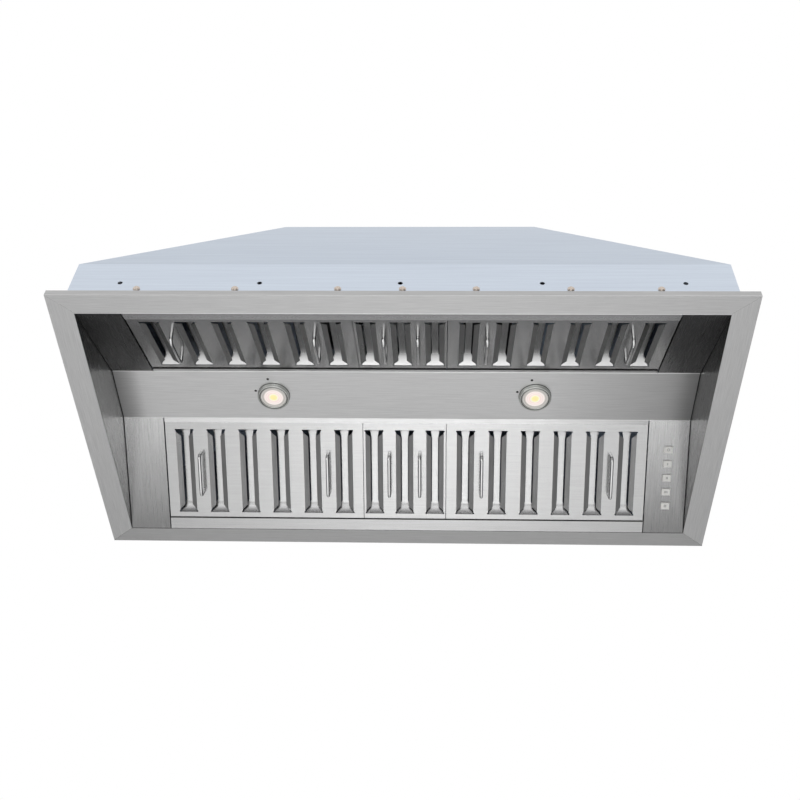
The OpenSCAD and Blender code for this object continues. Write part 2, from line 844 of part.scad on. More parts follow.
// Angle a blade sweeps through, and the share of it reached halfway out
blade_sweep = 9;
blade_bow_share = 0.225;
module blade() {
    r1 = blade_in;
    r2 = wheel_d / 2 - play;
    rm = (r1 + r2) / 2;
    am = blade_sweep * blade_bow_share;
    half = blade_t / 2;
    polygon([[r1, -half], [rm * cos(am), rm * sin(am) - half],
             [r2 * cos(blade_sweep), r2 * sin(blade_sweep) - half],
             [r2 * cos(blade_sweep), r2 * sin(blade_sweep) + half],
             [rm * cos(am), rm * sin(am) + half], [r1, half]]);
}
module impeller() {
    wheel_r = wheel_d / 2;
    color("gray") at_wheel() difference() {
        union() {
            linear_extrude(wheel_w, center = true)
                for (i = [0 : blade_count - 1]) rotate(i * 360 / blade_count) blade();
            for (side = [-1, 1])
                translate([0, 0, side * (wheel_w - wheel_plate) / 2]) difference() {
                    cylinder(r = wheel_r, h = wheel_plate, center = true);
                    cylinder(r = blade_in, h = wheel_plate + over, center = true);
                }
            cylinder(r = wheel_r, h = wheel_plate, center = true);
            cylinder(r = shaft_d / 2 + hub_wall, h = hub_l, center = true);
        }
        cylinder(d = shaft_d, h = hub_l + 2 * over, center = true);
    }
}

// Duct collar with two damper flaps that the air lifts

collar_wall = 1;
collar_in = collar_d / 2 - collar_wall;
collar_foot = 18;
// Height of the damper rods above the roof, and their distance from the middle
rod_rise = 9;
rod_z = roof_h + rod_rise;
rod_y = 5;
rod_reach = collar_d / 2 - collar_wall / 2;
flap_t = 1;
flap_gap = 1.6;
// How far a flap's underside lies below the middle of its rod
flap_drop = 1.5;
stop_w = 4;
stop_t = 1.2;
stop_top = rod_rise - rod_d / 2 - play;
module duct_collar() {
    color("lightgray") difference() {
        translate([0, 0, roof_h]) rotate_extrude() polygon([
            [collar_in, 0], [collar_d / 2 + collar_foot, 0],
            [collar_d / 2 + collar_foot, collar_wall], [collar_d / 2, collar_wall],
            [collar_d / 2, collar_h], [collar_in, collar_h],
            [collar_in, stop_top], [collar_in - stop_w, stop_top],
            [collar_in - stop_w, stop_top - stop_t], [collar_in, stop_top - stop_t]]);
        for (side = [-1, 1]) translate([0, side * rod_y, rod_z]) rotate([0, 90, 0])
            cylinder(r = rod_d / 2 + fit, h = collar_d + 2 * over, center = true);
    }
}
module damper_flap() {
    translate([0, rod_y, rod_z]) rotate([0, 90, 0])
        cylinder(d = rod_d, h = 2 * rod_reach, center = true);
    translate([0, 0, rod_z - flap_drop]) intersection() {
        cylinder(r = collar_in - flap_gap, h = flap_t);
        translate([-collar_d / 2, rod_y, 0])
            cube([collar_d, collar_d, flap_t]);
    }
}
module front_damper_flap() {
    color("silver") mirror([0, 1, 0]) damper_flap();
}
module rear_damper_flap() {
    color("silver") damper_flap();
}

// Electrical box under the roof, with the cable inlet above it

box_w = 70;
box_d = 100;
box_h = 40;
box_wall = 1.5;
// Room between the blower and the box
box_gap = 31;
box_x = casing_x + box_gap + box_w / 2;
box_y = 0;
gland_r = 8;
gland_bore_r = 4;
gland_head_r = 12;
gland_head_h = 14;
gland_nut_h = 6;
gland_rim = 3;
module control_box() {
    color("silver") translate([box_x, box_y, roof_under - box_h]) difference() {
        translate([-box_w / 2, -box_d / 2, 0]) cube([box_w, box_d, box_h]);
        translate([-box_w / 2 + box_wall, -box_d / 2 + box_wall, box_wall])
            cube([box_w - 2 * box_wall, box_d - 2 * box_wall, box_h]);
    }
}
module cable_gland() {
    color("dimgray") translate([box_x, box_y, 0]) difference() {
        union() {
            translate([0, 0, roof_h]) cylinder(r = gland_head_r, h = gland_head_h - gland_rim);
            translate([0, 0, roof_h + gland_head_h - gland_rim])
                cylinder(r1 = gland_head_r, r2 = gland_r, h = gland_rim);
            translate([0, 0, roof_under]) cylinder(r = gland_r, h = sheet + gland_rim);
            translate([0, 0, roof_under - gland_nut_h])
                cylinder(r = gland_head_r, h = gland_nut_h);
        }
        translate([0, 0, roof_under - gland_nut_h - over])
            cylinder(r = gland_bore_r, h = gland_nut_h + sheet + gland_head_h + 2 * over);
    }
}

flange_front();
flange_rear();
flange_left();
flange_right();
front_panel();
rear_panel();
left_end_panel();
right_end_panel();
roof_panel();
left_liner();
right_liner();
light_bar();
front_left_filler();
front_right_filler();
rear_left_filler();
control_panel();
front_rail();
rear_rail();
front_left_filter_face();
front_left_filter_back();
front_left_filter_handles();
front_middle_filter_face();
front_middle_filter_back();
front_middle_filter_handles();
front_right_filter_face();
front_right_filter_back();
front_right_filter_handles();
rear_left_filter_face();
rear_left_filter_back();
rear_left_filter_handles();
rear_middle_filter_face();
rear_middle_filter_back();
rear_middle_filter_handles();
rear_right_filter_face();
rear_right_filter_back();
rear_right_filter_handles();
left_lamp_ring();
left_lamp_lens();
left_lamp_module();
right_lamp_ring();
right_lamp_lens();
right_lamp_module();
button_1();
button_2();
button_3();
button_4();
button_5();
switch_housing();
blower_wrap();
blower_left_cheek();
blower_right_cheek();
motor();
motor_shaft();
impeller();
duct_collar();
front_damper_flap();
rear_damper_flap();
control_box();
cable_gland();
housing_screws();
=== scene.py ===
"""A built-in range hood insert, seen from below and in front in a plain studio."""
import json
import math

import bmesh
import bpy
from mathutils import Matrix, Vector

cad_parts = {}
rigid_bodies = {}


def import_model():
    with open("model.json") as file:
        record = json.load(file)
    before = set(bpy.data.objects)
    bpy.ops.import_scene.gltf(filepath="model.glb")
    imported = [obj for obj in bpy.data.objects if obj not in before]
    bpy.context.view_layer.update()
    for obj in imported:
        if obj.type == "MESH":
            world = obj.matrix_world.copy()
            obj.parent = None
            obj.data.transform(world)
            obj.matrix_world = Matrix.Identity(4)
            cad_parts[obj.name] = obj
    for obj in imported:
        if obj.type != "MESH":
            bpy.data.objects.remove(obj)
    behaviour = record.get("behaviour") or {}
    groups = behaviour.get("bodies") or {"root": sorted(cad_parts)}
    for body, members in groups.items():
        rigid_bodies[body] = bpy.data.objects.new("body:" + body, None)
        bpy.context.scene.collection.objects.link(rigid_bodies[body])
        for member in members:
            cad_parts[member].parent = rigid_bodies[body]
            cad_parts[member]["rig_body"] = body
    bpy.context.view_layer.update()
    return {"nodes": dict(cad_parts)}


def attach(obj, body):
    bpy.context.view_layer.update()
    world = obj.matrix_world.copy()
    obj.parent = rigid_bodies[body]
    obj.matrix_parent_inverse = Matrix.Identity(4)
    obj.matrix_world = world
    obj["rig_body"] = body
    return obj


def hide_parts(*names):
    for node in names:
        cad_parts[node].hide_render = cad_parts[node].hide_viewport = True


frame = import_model()
scene = bpy.context.scene
nodes = frame["nodes"]

# The studio: a camera below the insert that looks up at it from the front, as
# in the photograph, over a pale floor that is brightest right under the
# insert, below a white sky that turns grey towards the horizon.
MM = 0.001
CAMERA_AT = Vector((51.34, -1003.67, -1079.0)) * MM
CAMERA_ELEVATION, CAMERA_YAW, CAMERA_ROLL = 48.693, -3.222, 2.713
CAMERA_LENS = 49.17
FLOOR_Z, FLOOR_HALF = -1.75, 9.0
POOL_SHIFT, POOL_FROM, POOL_TO = 0.6, 1.4, 4.2
WHITE_SKY_AT = 0.34


def srgb(text):
    """A colour written as sRGB hex, as four linear numbers."""
    parts = [int(text[i:i + 2], 16) / 255 for i in (0, 2, 4)]
    return tuple(c / 12.92 if c <= 0.04045 else ((c + 0.055) / 1.055) ** 2.4
                 for c in parts) + (1.0,)


def add(tree, kind, links=None, **settings):
    """A new node in the tree. links gives its inputs a value or an output."""
    made = tree.nodes.new(kind)
    for name, value in settings.items():
        setattr(made, name, value)
    for name, value in (links or {}).items():
        if isinstance(value, bpy.types.NodeSocket):
            tree.links.new(value, made.inputs[name])
        else:
            made.inputs[name].default_value = value
    return made


def mixed(tree, factor, low, high):
    """The colour output of a mix from low to high, each a hex colour or an output."""
    made = add(tree, "ShaderNodeMix", {0: factor}, data_type="RGBA")
    for place, value in ((6, low), (7, high)):
        if isinstance(value, str):
            made.inputs[place].default_value = srgb(value)
        else:
            tree.links.new(value, made.inputs[place])
    return made.outputs[2]


def begun(name):
    """A new material, its tree, its shader's inputs and the Object coordinates."""
    made = bpy.data.materials.new(name)
    made.use_nodes = True
    tree = made.node_tree
    place = add(tree, "ShaderNodeTexCoord").outputs["Object"]
    return made, tree, tree.nodes["Principled BSDF"].inputs, place


up_angle, yaw, roll = (math.radians(a) for a in
                       (CAMERA_ELEVATION, CAMERA_YAW, CAMERA_ROLL))
forward = Vector((math.sin(yaw) * math.cos(up_angle),
                  math.cos(yaw) * math.cos(up_angle), math.sin(up_angle)))
right = forward.cross(Vector((0, 0, 1))).normalized()
down = forward.cross(right)
turned_right = right * math.cos(roll) - down * math.sin(roll)
turned_down = right * math.sin(roll) + down * math.cos(roll)
camera = bpy.data.objects.new("camera", bpy.data.cameras.new("camera"))
camera.data.sensor_width = 36.0
camera.data.lens = CAMERA_LENS
camera.data.clip_start = 0.01
camera.data.clip_end = 60
axes = Matrix((turned_right, -turned_down, -forward)).transposed().to_4x4()
camera.matrix_world = Matrix.Translation(CAMERA_AT) @ axes
scene.collection.objects.link(camera)
scene.camera = camera
scene.view_settings.view_transform = "Standard"

world = bpy.data.worlds.new("studio")
scene.world = world
world.use_nodes = True
tree = world.node_tree
tree.nodes.clear()
direction = add(tree, "ShaderNodeTexCoord").outputs["Generated"]
height = add(tree, "ShaderNodeSeparateXYZ", {"Vector": direction}).outputs["Z"]
sky = add(tree, "ShaderNodeValToRGB", {"Fac": height})
sky.color_ramp.elements[0].position = 0.0
sky.color_ramp.elements[0].color = srgb("7E7E80")
sky.color_ramp.elements[1].position = WHITE_SKY_AT
sky.color_ramp.elements[1].color = srgb("FFFFFF")
background = add(tree, "ShaderNodeBackground",
                 {"Color": sky.outputs["Color"], "Strength": 1.0})
add(tree, "ShaderNodeOutputWorld", {"Surface": background.outputs["Background"]})

floor_mesh = bpy.data.meshes.new("floor")
floor_mesh.from_pydata([(x * FLOOR_HALF, y * FLOOR_HALF, FLOOR_Z)
                        for x, y in ((-1, -1), (1, -1), (1, 1), (-1, 1))],
                       [], [(0, 1, 2, 3)])
floor = bpy.data.objects.new("floor", floor_mesh)
scene.collection.objects.link(floor)
# Gives the floor a pale, matt, slightly clouded tone, with a painted pool of light: darker
# far from the insert.
paint, tree, sockets, place = begun("matt_floor_paint")
centred = add(tree, "ShaderNodeMapping", {"Vector": place, "Location": (0, POOL_SHIFT, 0),
                                          "Scale": (1, 1, 0)})
spread = add(tree, "ShaderNodeVectorMath", {0: centred.outputs["Vector"]},
             operation="LENGTH").outputs["Value"]
painted_pool_falloff = add(tree, "ShaderNodeMapRange",
           {"Value": spread, "From Min": POOL_FROM, "From Max": POOL_TO})
speckle = add(tree, "ShaderNodeTexNoise", {"Vector": place, "Scale": 1.2}).outputs["Fac"]
near_tone = mixed(tree, speckle, "C6C6C6", "CCCCCC")
tree.links.new(mixed(tree, painted_pool_falloff.outputs["Result"], near_tone, "747474"),
               sockets["Base Color"])
sockets["Roughness"].default_value = 0.9
floor.data.materials.append(paint)


def soft_light(name, place, target, width, depth, power):
    """An oblong area light that faces the target and isn't seen itself."""
    lamp = bpy.data.lights.new(name, "AREA")
    lamp.shape = "RECTANGLE"
    lamp.size = width
    lamp.size_y = depth
    lamp.energy = power
    made = bpy.data.objects.new(name, lamp)
    turn = (Vector(target) - Vector(place)).to_track_quat("-Z", "Y")
    made.matrix_world = Matrix.Translation(place) @ turn.to_matrix().to_4x4()
    made.visible_camera = False
    scene.collection.objects.link(made)
    return made


for name, place, target, width, depth, power in (
        ("pool_light", (0.0, -0.2, -1.1), (0.0, -0.2, FLOOR_Z), 0.5, 0.5, 6.0),
        ("rear_floor_light", (0.0, 0.9, -1.1), (0.0, 0.9, FLOOR_Z), 0.6, 0.6, 1.6),
        ("front_floor_light", (0.0, -1.6, -1.1), (0.0, -1.6, FLOOR_Z), 1.2, 1.4, 15.0),
        ("left_floor_light", (-1.2, 1.6, -1.1), (-1.2, 1.6, FLOOR_Z), 0.6, 0.6, 2.4),
        ("right_floor_light", (1.1, 1.6, -1.1), (1.1, 1.6, FLOOR_Z), 0.6, 0.6, 1.4),
        ("left_light", (-2.4, -1.4, -0.9), (-0.2, 0.0, 0.1), 1.4, 1.4, 10.0)):
    soft_light(name, place, target, width, depth, power)
# A card behind the insert and one in front, which only the metal mirrors.
for card in (
        soft_light("rear_card_light", (0.0, 2.75, -1.3), (0.0, 0.1, 0.06), 2.3, 0.45, 3.4),
        soft_light("front_card_light", (0.0, -3.2, -0.95), (0.0, 0.15, 0.05), 3.0, 1.1, 9.0)):
    card.visible_diffuse = False


# The housing: walls of stainless sheet that stand up from the flange, lean in
# at a crease and carry the roof plate. They keep the mill's cold, even satin
# finish, and are held together by folded tabs inside.
CREASE_ROUND, CREASE_PAINTED_SHADE = 0.6, (91.6, 92.4, 1.04, 0.93)
MERGE_M, FLAT_WITHIN, BEVEL_FROM, FOLD_LEAN = 1e-6, 0.5, 24.0, (0.15, 0.6)
WALL_GRAIN = (160, 160, 1.6)


def dressed(node_name, round_mm, material, crease=20.0, segments=2, folds=None):
    """A piece in the shape of a CAD node, its sharp edges rounded, which replaces it.

    folds is the material of the faces that lean between FOLD_LEAN's shares
    towards +X or -X, which are a filter's flaps.
    """
    source = nodes[node_name]
    mesh = source.data.copy()
    form = bmesh.new()
    form.from_mesh(mesh)
    bmesh.ops.remove_doubles(form, verts=form.verts, dist=MERGE_M)
    bmesh.ops.dissolve_limit(form, angle_limit=math.radians(FLAT_WITHIN),
                             verts=form.verts, edges=form.edges)
    form.normal_update()
    for face in form.faces:
        face.smooth = True
        if folds and FOLD_LEAN[0] < abs(face.normal.x) < FOLD_LEAN[1]:
            face.material_index = 1
    for edge in form.edges:
        edge.smooth = edge.calc_face_angle(0) < math.radians(crease)
    mesh.materials.clear()
    form.to_mesh(mesh)
    form.free()
    mesh.materials.append(material)
    if folds:
        mesh.materials.append(folds)
    piece = bpy.data.objects.new(node_name + "_sheet", mesh)
    scene.collection.objects.link(piece)
    bevel = piece.modifiers.new("edge", "BEVEL")
    bevel.width = round_mm * MM
    bevel.segments = segments
    bevel.limit_method = "ANGLE"
    bevel.angle_limit = math.radians(BEVEL_FROM)
    bevel.use_clamp_overlap = True
    bevel.harden_normals = True
    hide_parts(node_name)
    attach(piece, source["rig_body"])
    return piece


def metal(name, dark, light, grain_mm, rough, bump=0.06, wave=0.0, wave_mm=90.0):
    """A metal surface whose fine grain is as long, wide and deep as grain_mm says.

    The grain changes the tone, the gloss and the bump, and slow waves of the
    size wave_mm, wave millimetres high, bend the reflections. Real brush lines
    are about 0.1 mm wide, and are drawn as wide as they need to show.
    """
    made, tree, sockets, place = begun(name)
    sockets["Metallic"].default_value = 1.0
    stretched = add(tree, "ShaderNodeMapping",
                    {"Vector": place, "Scale": [1 / (mm * MM) for mm in grain_mm]})
    grain = add(tree, "ShaderNodeTexNoise",
                {"Vector": stretched.outputs["Vector"], "Scale": 1.0, "Detail": 4.0,
                 "Roughness": 0.7}).outputs["Fac"]
    patches = add(tree, "ShaderNodeTexNoise",
                  {"Vector": place, "Scale": 1 / (wave_mm * MM), "Detail": 1.0})
    spread = add(tree, "ShaderNodeMapRange",
                 {"Value": grain, "From Min": 0.3, "From Max": 0.7}).outputs["Result"]
    tree.links.new(mixed(tree, spread, dark, light), sockets["Base Color"])
    gloss = add(tree, "ShaderNodeMapRange",
                {"Value": spread, "To Min": rough * 1.12, "To Max": rough * 0.88})
    tree.links.new(gloss.outputs["Result"], sockets["Roughness"])
    slow = add(tree, "ShaderNodeBump",
               {"Height": patches.outputs["Fac"], "Strength": 1.0, "Distance": wave * MM})
    fine = add(tree, "ShaderNodeBump",
               {"Height": grain, "Strength": bump, "Distance": 0.1 * MM,
                "Normal": slow.outputs["Normal"]})
    tree.links.new(fine.outputs["Normal"], sockets["Normal"])
    return made


def graded(material, axis, near, far, low, high):
    """Scales a metal's tone from low at near to high at far, places on the axis in mm."""
    tree = material.node_tree
    base = tree.nodes["Principled BSDF"].inputs["Base Color"]
    tone = base.links[0].from_socket
    place = add(tree, "ShaderNodeTexCoord").outputs["Object"]
    along = add(tree, "ShaderNodeSeparateXYZ", {"Vector": place}).outputs[axis]
    share = add(tree, "ShaderNodeMapRange", {"Value": along, "From Min": near * MM,
                                             "From Max": far * MM, "To Min": low,
                                             "To Max": high})
    scaled = add(tree, "ShaderNodeVectorMath", {0: tone, "Scale": share.outputs["Result"]},
                 operation="SCALE")
    tree.links.new(scaled.outputs["Vector"], base)
    return material


# Gives the cold blue-grey of sheet as it comes from the mill, with painted shade that makes
# it a little greyer above the crease.
mill_steel = metal("mill_finish_stainless", "C3CBD7", "CDD6E1", WALL_GRAIN, 0.34,
                   bump=0.02, wave=0.3, wave_mm=170)
graded(mill_steel, "Z", *CREASE_PAINTED_SHADE)
for name in ("front_panel", "rear_panel", "left_end_panel", "right_end_panel",
             "roof_panel"):
    dressed(name, CREASE_ROUND, mill_steel)

# The screws that hold the inner rails to the long walls: pan heads with a
# cross recess, plated and passivated to a warm white.
SCREW_SHARES = (-0.962, -0.601, -0.226, 0.009, 0.275, 0.615, 0.938)
SCREW_ROW_HALF = 345.5
WALL_Y, SCREW_Z = 208.5, 37.0
HEAD_R, HEAD_H, HEAD_SIDES = 4.5, 2.4, 32
CROSS_R, CROSS_HALF_W, CROSS_D = 2.3, 0.42, 1.3


def mesh_of(form, name, sharp=None):
    """The form's mesh. With sharp it is smooth but for edges over that many degrees."""
    if sharp is not None:
        bmesh.ops.recalc_face_normals(form, faces=form.faces)
        form.normal_update()
        for face in form.faces:
            face.smooth = True
        for edge in form.edges:
            edge.smooth = edge.calc_face_angle(0) < math.radians(sharp)
    mesh = bpy.data.meshes.new(name)
    form.to_mesh(mesh)
    form.free()
    return mesh


def block(form, size, middle, turn=0.0):
    """Adds a box to the form, turned about Z and moved to its middle, in mm and degrees."""
    made = bmesh.ops.create_cube(form, size=1.0)["verts"]
    bmesh.ops.scale(form, verts=made, vec=Vector(size) * MM)
    bmesh.ops.rotate(form, verts=made, matrix=Matrix.Rotation(math.radians(turn), 3, "Z"))
    bmesh.ops.translate(form, verts=made, vec=Vector(middle) * MM)


def lathe(profile, steps, sharp=180):
    """A closed mesh of revolution about Z from (radius, height) points in mm."""
    form = bmesh.new()
    rings = []
    for radius, level in profile:
        if radius < 1e-6:
            rings.append([form.verts.new((0, 0, level * MM))])
        else:
            rings.append([form.verts.new((radius * MM * math.cos(a),
                                          radius * MM * math.sin(a), level * MM))
                          for a in (2 * math.pi * i / steps for i in range(steps))])
    closed = len(rings[0]) > 1 and len(rings[-1]) > 1
    pairs = list(zip(rings, rings[1:])) + ([(rings[-1], rings[0])] if closed else [])
    for low, high in pairs:
        for i in range(steps):
            j = (i + 1) % steps
            corners = ([low[0]] if len(low) == 1 else [low[i], low[j]]) + \
                      ([high[0]] if len(high) == 1 else [high[j], high[i]])
            if len(corners) > 2:
                form.faces.new(corners)
    return mesh_of(form, "lathe", sharp)


def piece_of(name, mesh, material, body, replaced=()):
    """A finished piece from a mesh that is already in its place."""
    mesh.name = name
    mesh.materials.clear()
    mesh.materials.append(material)
    made = bpy.data.objects.new(name, mesh)
    scene.collection.objects.link(made)
    if replaced:
        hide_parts(*replaced)
    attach(made, body)
    return made


def node_group(name, inputs, output):
    """An empty Geometry Nodes tree with its sockets, and what its inputs give."""
    tree = bpy.data.node_groups.new(name, "GeometryNodeTree")
    for label, kind in inputs:
        tree.interface.new_socket(label, in_out="INPUT", socket_type="NodeSocket" + kind)
    tree.interface.new_socket(output, in_out="OUTPUT", socket_type="NodeSocketGeometry")
    return tree, add(tree, "NodeGroupInput").outputs


def finished_tree(tree, copies, finish, output):
    """Ends a tree: makes the copies real, in one material."""
    real = add(tree, "GeometryNodeRealizeInstances", {"Geometry": copies.outputs[0]})
    done = add(tree, "GeometryNodeSetMaterial",
               {"Geometry": real.outputs[0], "Material": finish})
    add(tree, "NodeGroupOutput", {output: done.outputs[0]})
    return tree


def grown(data, tree, wanted):
    """The plain mesh that a Geometry Nodes tree makes of a mesh with the wanted inputs."""
    holder = bpy.data.objects.new(tree.name, data)
    scene.collection.objects.link(holder)
    modifier = holder.modifiers.new(tree.name, "NODES")
    modifier.node_group = tree
    for socket in tree.interface.items_tree:
        if socket.in_out == "INPUT" and socket.name in wanted:
            modifier[socket.identifier] = wanted[socket.name]
    bpy.context.view_layer.update()
    graph = bpy.context.evaluated_depsgraph_get()
    mesh = bpy.data.meshes.new_from_object(holder.evaluated_get(graph))
    holder.modifiers.clear()
    bpy.data.objects.remove(holder)
    return mesh


def scatter_tree():
    """Geometry Nodes that put a shape on every vertex of a mesh, all turned alike."""
    tree, given = node_group("one_on_each_point", (
        ("Places", "Geometry"), ("Shape", "Object"), ("Turn", "Vector"),
        ("Finish", "Material")), "Set")
    shape = add(tree, "GeometryNodeObjectInfo", {"Object": given["Shape"]})
    copies = add(tree, "GeometryNodeInstanceOnPoints",
                 {"Points": given["Places"], "Instance": shape.outputs["Geometry"],
                  "Rotation": given["Turn"]})
    return finished_tree(tree, copies, given["Finish"], "Set")


one_on_each_point = scatter_tree()


def scattered_mesh(shape, places, turn, material):
    """The plain mesh that one_on_each_point makes; places in metres, turn in degrees."""
    pattern = bpy.data.objects.new("pattern", shape)
    scene.collection.objects.link(pattern)
    points = bpy.data.meshes.new("places")
    points.from_pydata(places, [], [])
    mesh = grown(points, one_on_each_point,
                 {"Shape": pattern, "Turn": [math.radians(a) for a in turn],
                  "Finish": material})
    bpy.data.objects.remove(pattern)
    return mesh


def joined(meshes):
    """One mesh from several."""
    form = bmesh.new()
    for mesh in meshes:
        form.from_mesh(mesh)
    return mesh_of(form, "joined")


def coated(node_name, material):
    """Gives a CAD node that stays in view its material."""
    nodes[node_name].data.materials.clear()
    nodes[node_name].data.materials.append(material)


def screw_head():
    """A pan head that stands on the XY plane, with a cross recess in its crown."""
    dome = [(0, HEAD_H), (1.6, HEAD_H * 0.97), (3.0, HEAD_H * 0.82), (4.0, HEAD_H * 0.52),
            (HEAD_R, HEAD_H * 0.2), (HEAD_R, 0.0), (0, 0.0)]
    head = bpy.data.objects.new("head", lathe(dome, HEAD_SIDES))
    cutter = bmesh.new()
    for turn in (0, 90):
        block(cutter, (2 * CROSS_R, 2 * CROSS_HALF_W, 2 * CROSS_D), (0, 0, HEAD_H), turn)
    tool = bpy.data.objects.new("cross", mesh_of(cutter, "cross"))
    for item in (head, tool):
        scene.collection.objects.link(item)
    cut = head.modifiers.new("recess", "BOOLEAN")
    cut.operation = "DIFFERENCE"
    cut.object = tool
    cut.use_self = True
    graph = bpy.context.evaluated_depsgraph_get()
    form = bmesh.new()
    form.from_mesh(bpy.data.meshes.new_from_object(head.evaluated_get(graph)))
    for item in (head, tool):
        bpy.data.objects.remove(item)
    return mesh_of(form, "screw_head", 35)


# Gives small, warm, slightly worn highlights on the screw heads.
plated_steel = metal("plated_screw_steel", "B7A79A", "E0D6CC", (1.2, 1.2, 1.2), 0.3,
                     bump=0.1, wave=0.05, wave_mm=6)
head_mesh = screw_head()
screw_places = [(share * SCREW_ROW_HALF * MM, WALL_Y * MM, SCREW_Z * MM)
                for share in SCREW_SHARES]
rear_heads = scattered_mesh(head_mesh.copy(), screw_places, (-90, 0, 0), plated_steel)
front_heads = scattered_mesh(head_mesh, [(x, -y, z) for x, y, z in screw_places],
                             (90, 0, 0), plated_steel)
piece_of("screw_heads", joined([rear_heads, front_heads]), plated_steel,
         nodes["housing_screws"]["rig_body"])
coated("housing_screws", plated_steel)

# The flange: four strips of brushed stainless, mitred at the corners, each
# with its outer edge folded up into a lip. The grain runs along each strip.
FLANGE_ROUND, LIP_PAINTED_SHADE = 0.4, (0.3, 1.3, 1.0, 0.66)
GRAIN_ALONG_X, GRAIN_ALONG_Y = (45, 0.9, 0.9), (0.9, 45, 0.9)
# Give long grain along X and along Y.
long_grain_steel = metal("long_brushed_stainless", "CFCFCF", "E3E3E3", GRAIN_ALONG_X, 0.36)
cross_grain_steel = metal("cross_brushed_stainless", "CFCFCF", "E3E3E3", GRAIN_ALONG_Y, 0.36)
# Gives the rear strip a slightly darker tone.
rear_grain_steel = metal("rear_brushed_stainless", "BEBEBE", "D1D1D1", GRAIN_ALONG_X, 0.36)
# Darken the lips above the polished bend with painted shade.
for material in (long_grain_steel, cross_grain_steel, rear_grain_steel):
    graded(material, "Z", *LIP_PAINTED_SHADE)
for name, material in (("flange_front", long_grain_steel),
                       ("flange_rear", rear_grain_steel),
                       ("flange_left", cross_grain_steel),
                       ("flange_right", cross_grain_steel)):
    dressed(name, FLANGE_ROUND, material, segments=1)

# The panels round the filters: the light bar across the middle, the blank
# panels at the ends of both rows, the side walls and the lower rails, all of
# brushed stainless sheet folded on a press brake.
BEND_ROUND, PANEL_ROUND = 1.0, 0.6
GRAIN_DOWN_SLOPE, GRAIN_UPRIGHT, RAIL_GRAIN = (0.9, 45, 45), (45, 45, 0.9), (60, 1.2, 1.2)
# Each tone gives two places in mm and the share of the tone at either.
LEFT_END_PAINTED_REFLECTION, RIGHT_END_PAINTED_REFLECTION = (-405, -368, 0.62, 1.0), (190, 405, 1.0, 0.55)
REAR_BLANK_PAINTED_LIGHT, FRONT_BLANK_PAINTED_LIGHT = (45, 190, 1.75, 0.78), (-190, -45, 0.6, 1.1)
LEFT_SIDE_PAINTED_SHADE, RIGHT_SIDE_PAINTED_SHADE = (-170, 20, 0.4, 1.0), (-170, 20, 0.55, 0.95)
# Gives the light bar its fine grain along X, with a painted reflection of the side walls that
# darkens its ends, the right one over a longer stretch.
bar_steel = metal("bar_brushed_stainless", "DBDBDB", "EDEDED", GRAIN_ALONG_X, 0.34)
graded(bar_steel, "X", *LEFT_END_PAINTED_REFLECTION)
graded(bar_steel, "X", *RIGHT_END_PAINTED_REFLECTION)
# Gives the rear blank panels a grain down their slope, with painted light that brightens them
# towards the bar.
blank_steel = graded(metal("blank_brushed_stainless", "969696", "AEAEAE",
                           GRAIN_DOWN_SLOPE, 0.26), "Y", *REAR_BLANK_PAINTED_LIGHT)
# Gives the front ones the same grain, darker with painted shade, and with painted light that
# brightens them towards the bar.
front_blank_steel = graded(metal("dull_brushed_stainless", "7A7A7A", "8C8C8C",
                                 GRAIN_DOWN_SLOPE, 0.26), "Y", *FRONT_BLANK_PAINTED_LIGHT)
# Give the side walls an upright grain, darker towards the front with painted shade, the right
# one a little darker still with painted shade.
left_side_steel = graded(metal("left_brushed_stainless", "9C9C9C", "B2B2B2",
                               GRAIN_UPRIGHT, 0.28), "Y", *LEFT_SIDE_PAINTED_SHADE)
right_side_steel = graded(metal("right_brushed_stainless", "727272", "848484",
                                GRAIN_UPRIGHT, 0.28), "Y", *RIGHT_SIDE_PAINTED_SHADE)
# Gives the rear rail the bright sheet of the filters.
rail_steel = metal("rail_bright_stainless", "BEBEBE", "C8C8C8", RAIL_GRAIN, 0.22, bump=0.03)
# Gives the front rail a whiter tone.
front_rail_steel = metal("polished_rail_stainless", "ECECEC", "F4F4F4", RAIL_GRAIN, 0.24,
                         bump=0.03)
dressed("light_bar", BEND_ROUND, bar_steel)
dressed("left_liner", PANEL_ROUND, left_side_steel)
dressed("right_liner", PANEL_ROUND, right_side_steel)
for name in ("front_left_filler", "front_right_filler"):
    dressed(name, PANEL_ROUND, front_blank_steel)
for name in ("rear_left_filler", "control_panel"):
    dressed(name, PANEL_ROUND, blank_steel)
dressed("rear_rail", PANEL_ROUND, rail_steel)
dressed("front_rail", PANEL_ROUND, front_rail_steel)

# The edges round the filters: black strips, drawn as rubber trim on the two edges the rows
# lie against and as sealant where the panels meet the side walls, which are painted shade for
# the dark gaps there, and the polished rounds of the bends, whiter than the sheet as a
# painted highlight.
BAR_HALF, BAR_Z, SLOPE = 43.7, 73.6, 25.428854
BANK_X, SIDE_X, TOP_LAP, LEDGE_AT = 345.5, 404.7, 6.5, 153.9
SHADE_STRIP_W, SHADE_STRIP_FROM, SHADE_STRIP_TO = 1.3, 0.1, 0.9
SHADE_SEAM_W, SHADE_SEAM_SUNK, SHADE_SEAM_PAST_LEDGE, INNER_Y = 0.9, 0.4, 16.0, 198.5
MITRE_W, MITRE_Z, MITRE_OUT, MITRE_SHORT = 0.5, (0.12, 0.8), (31.8, 27.0), 1.0
BEAD_R, BEAD_SIDES, BEAD_UP = 0.8, 12, 0.45
FRONT_BEND_IN, REAR_BEND_IN, EDGE_IN = 0.55, 0.3, 0.9
on_bank = Matrix.Translation((0, BAR_HALF * MM, BAR_Z * MM)) @ \
    Matrix.Rotation(math.radians(-SLOPE), 4, "X")


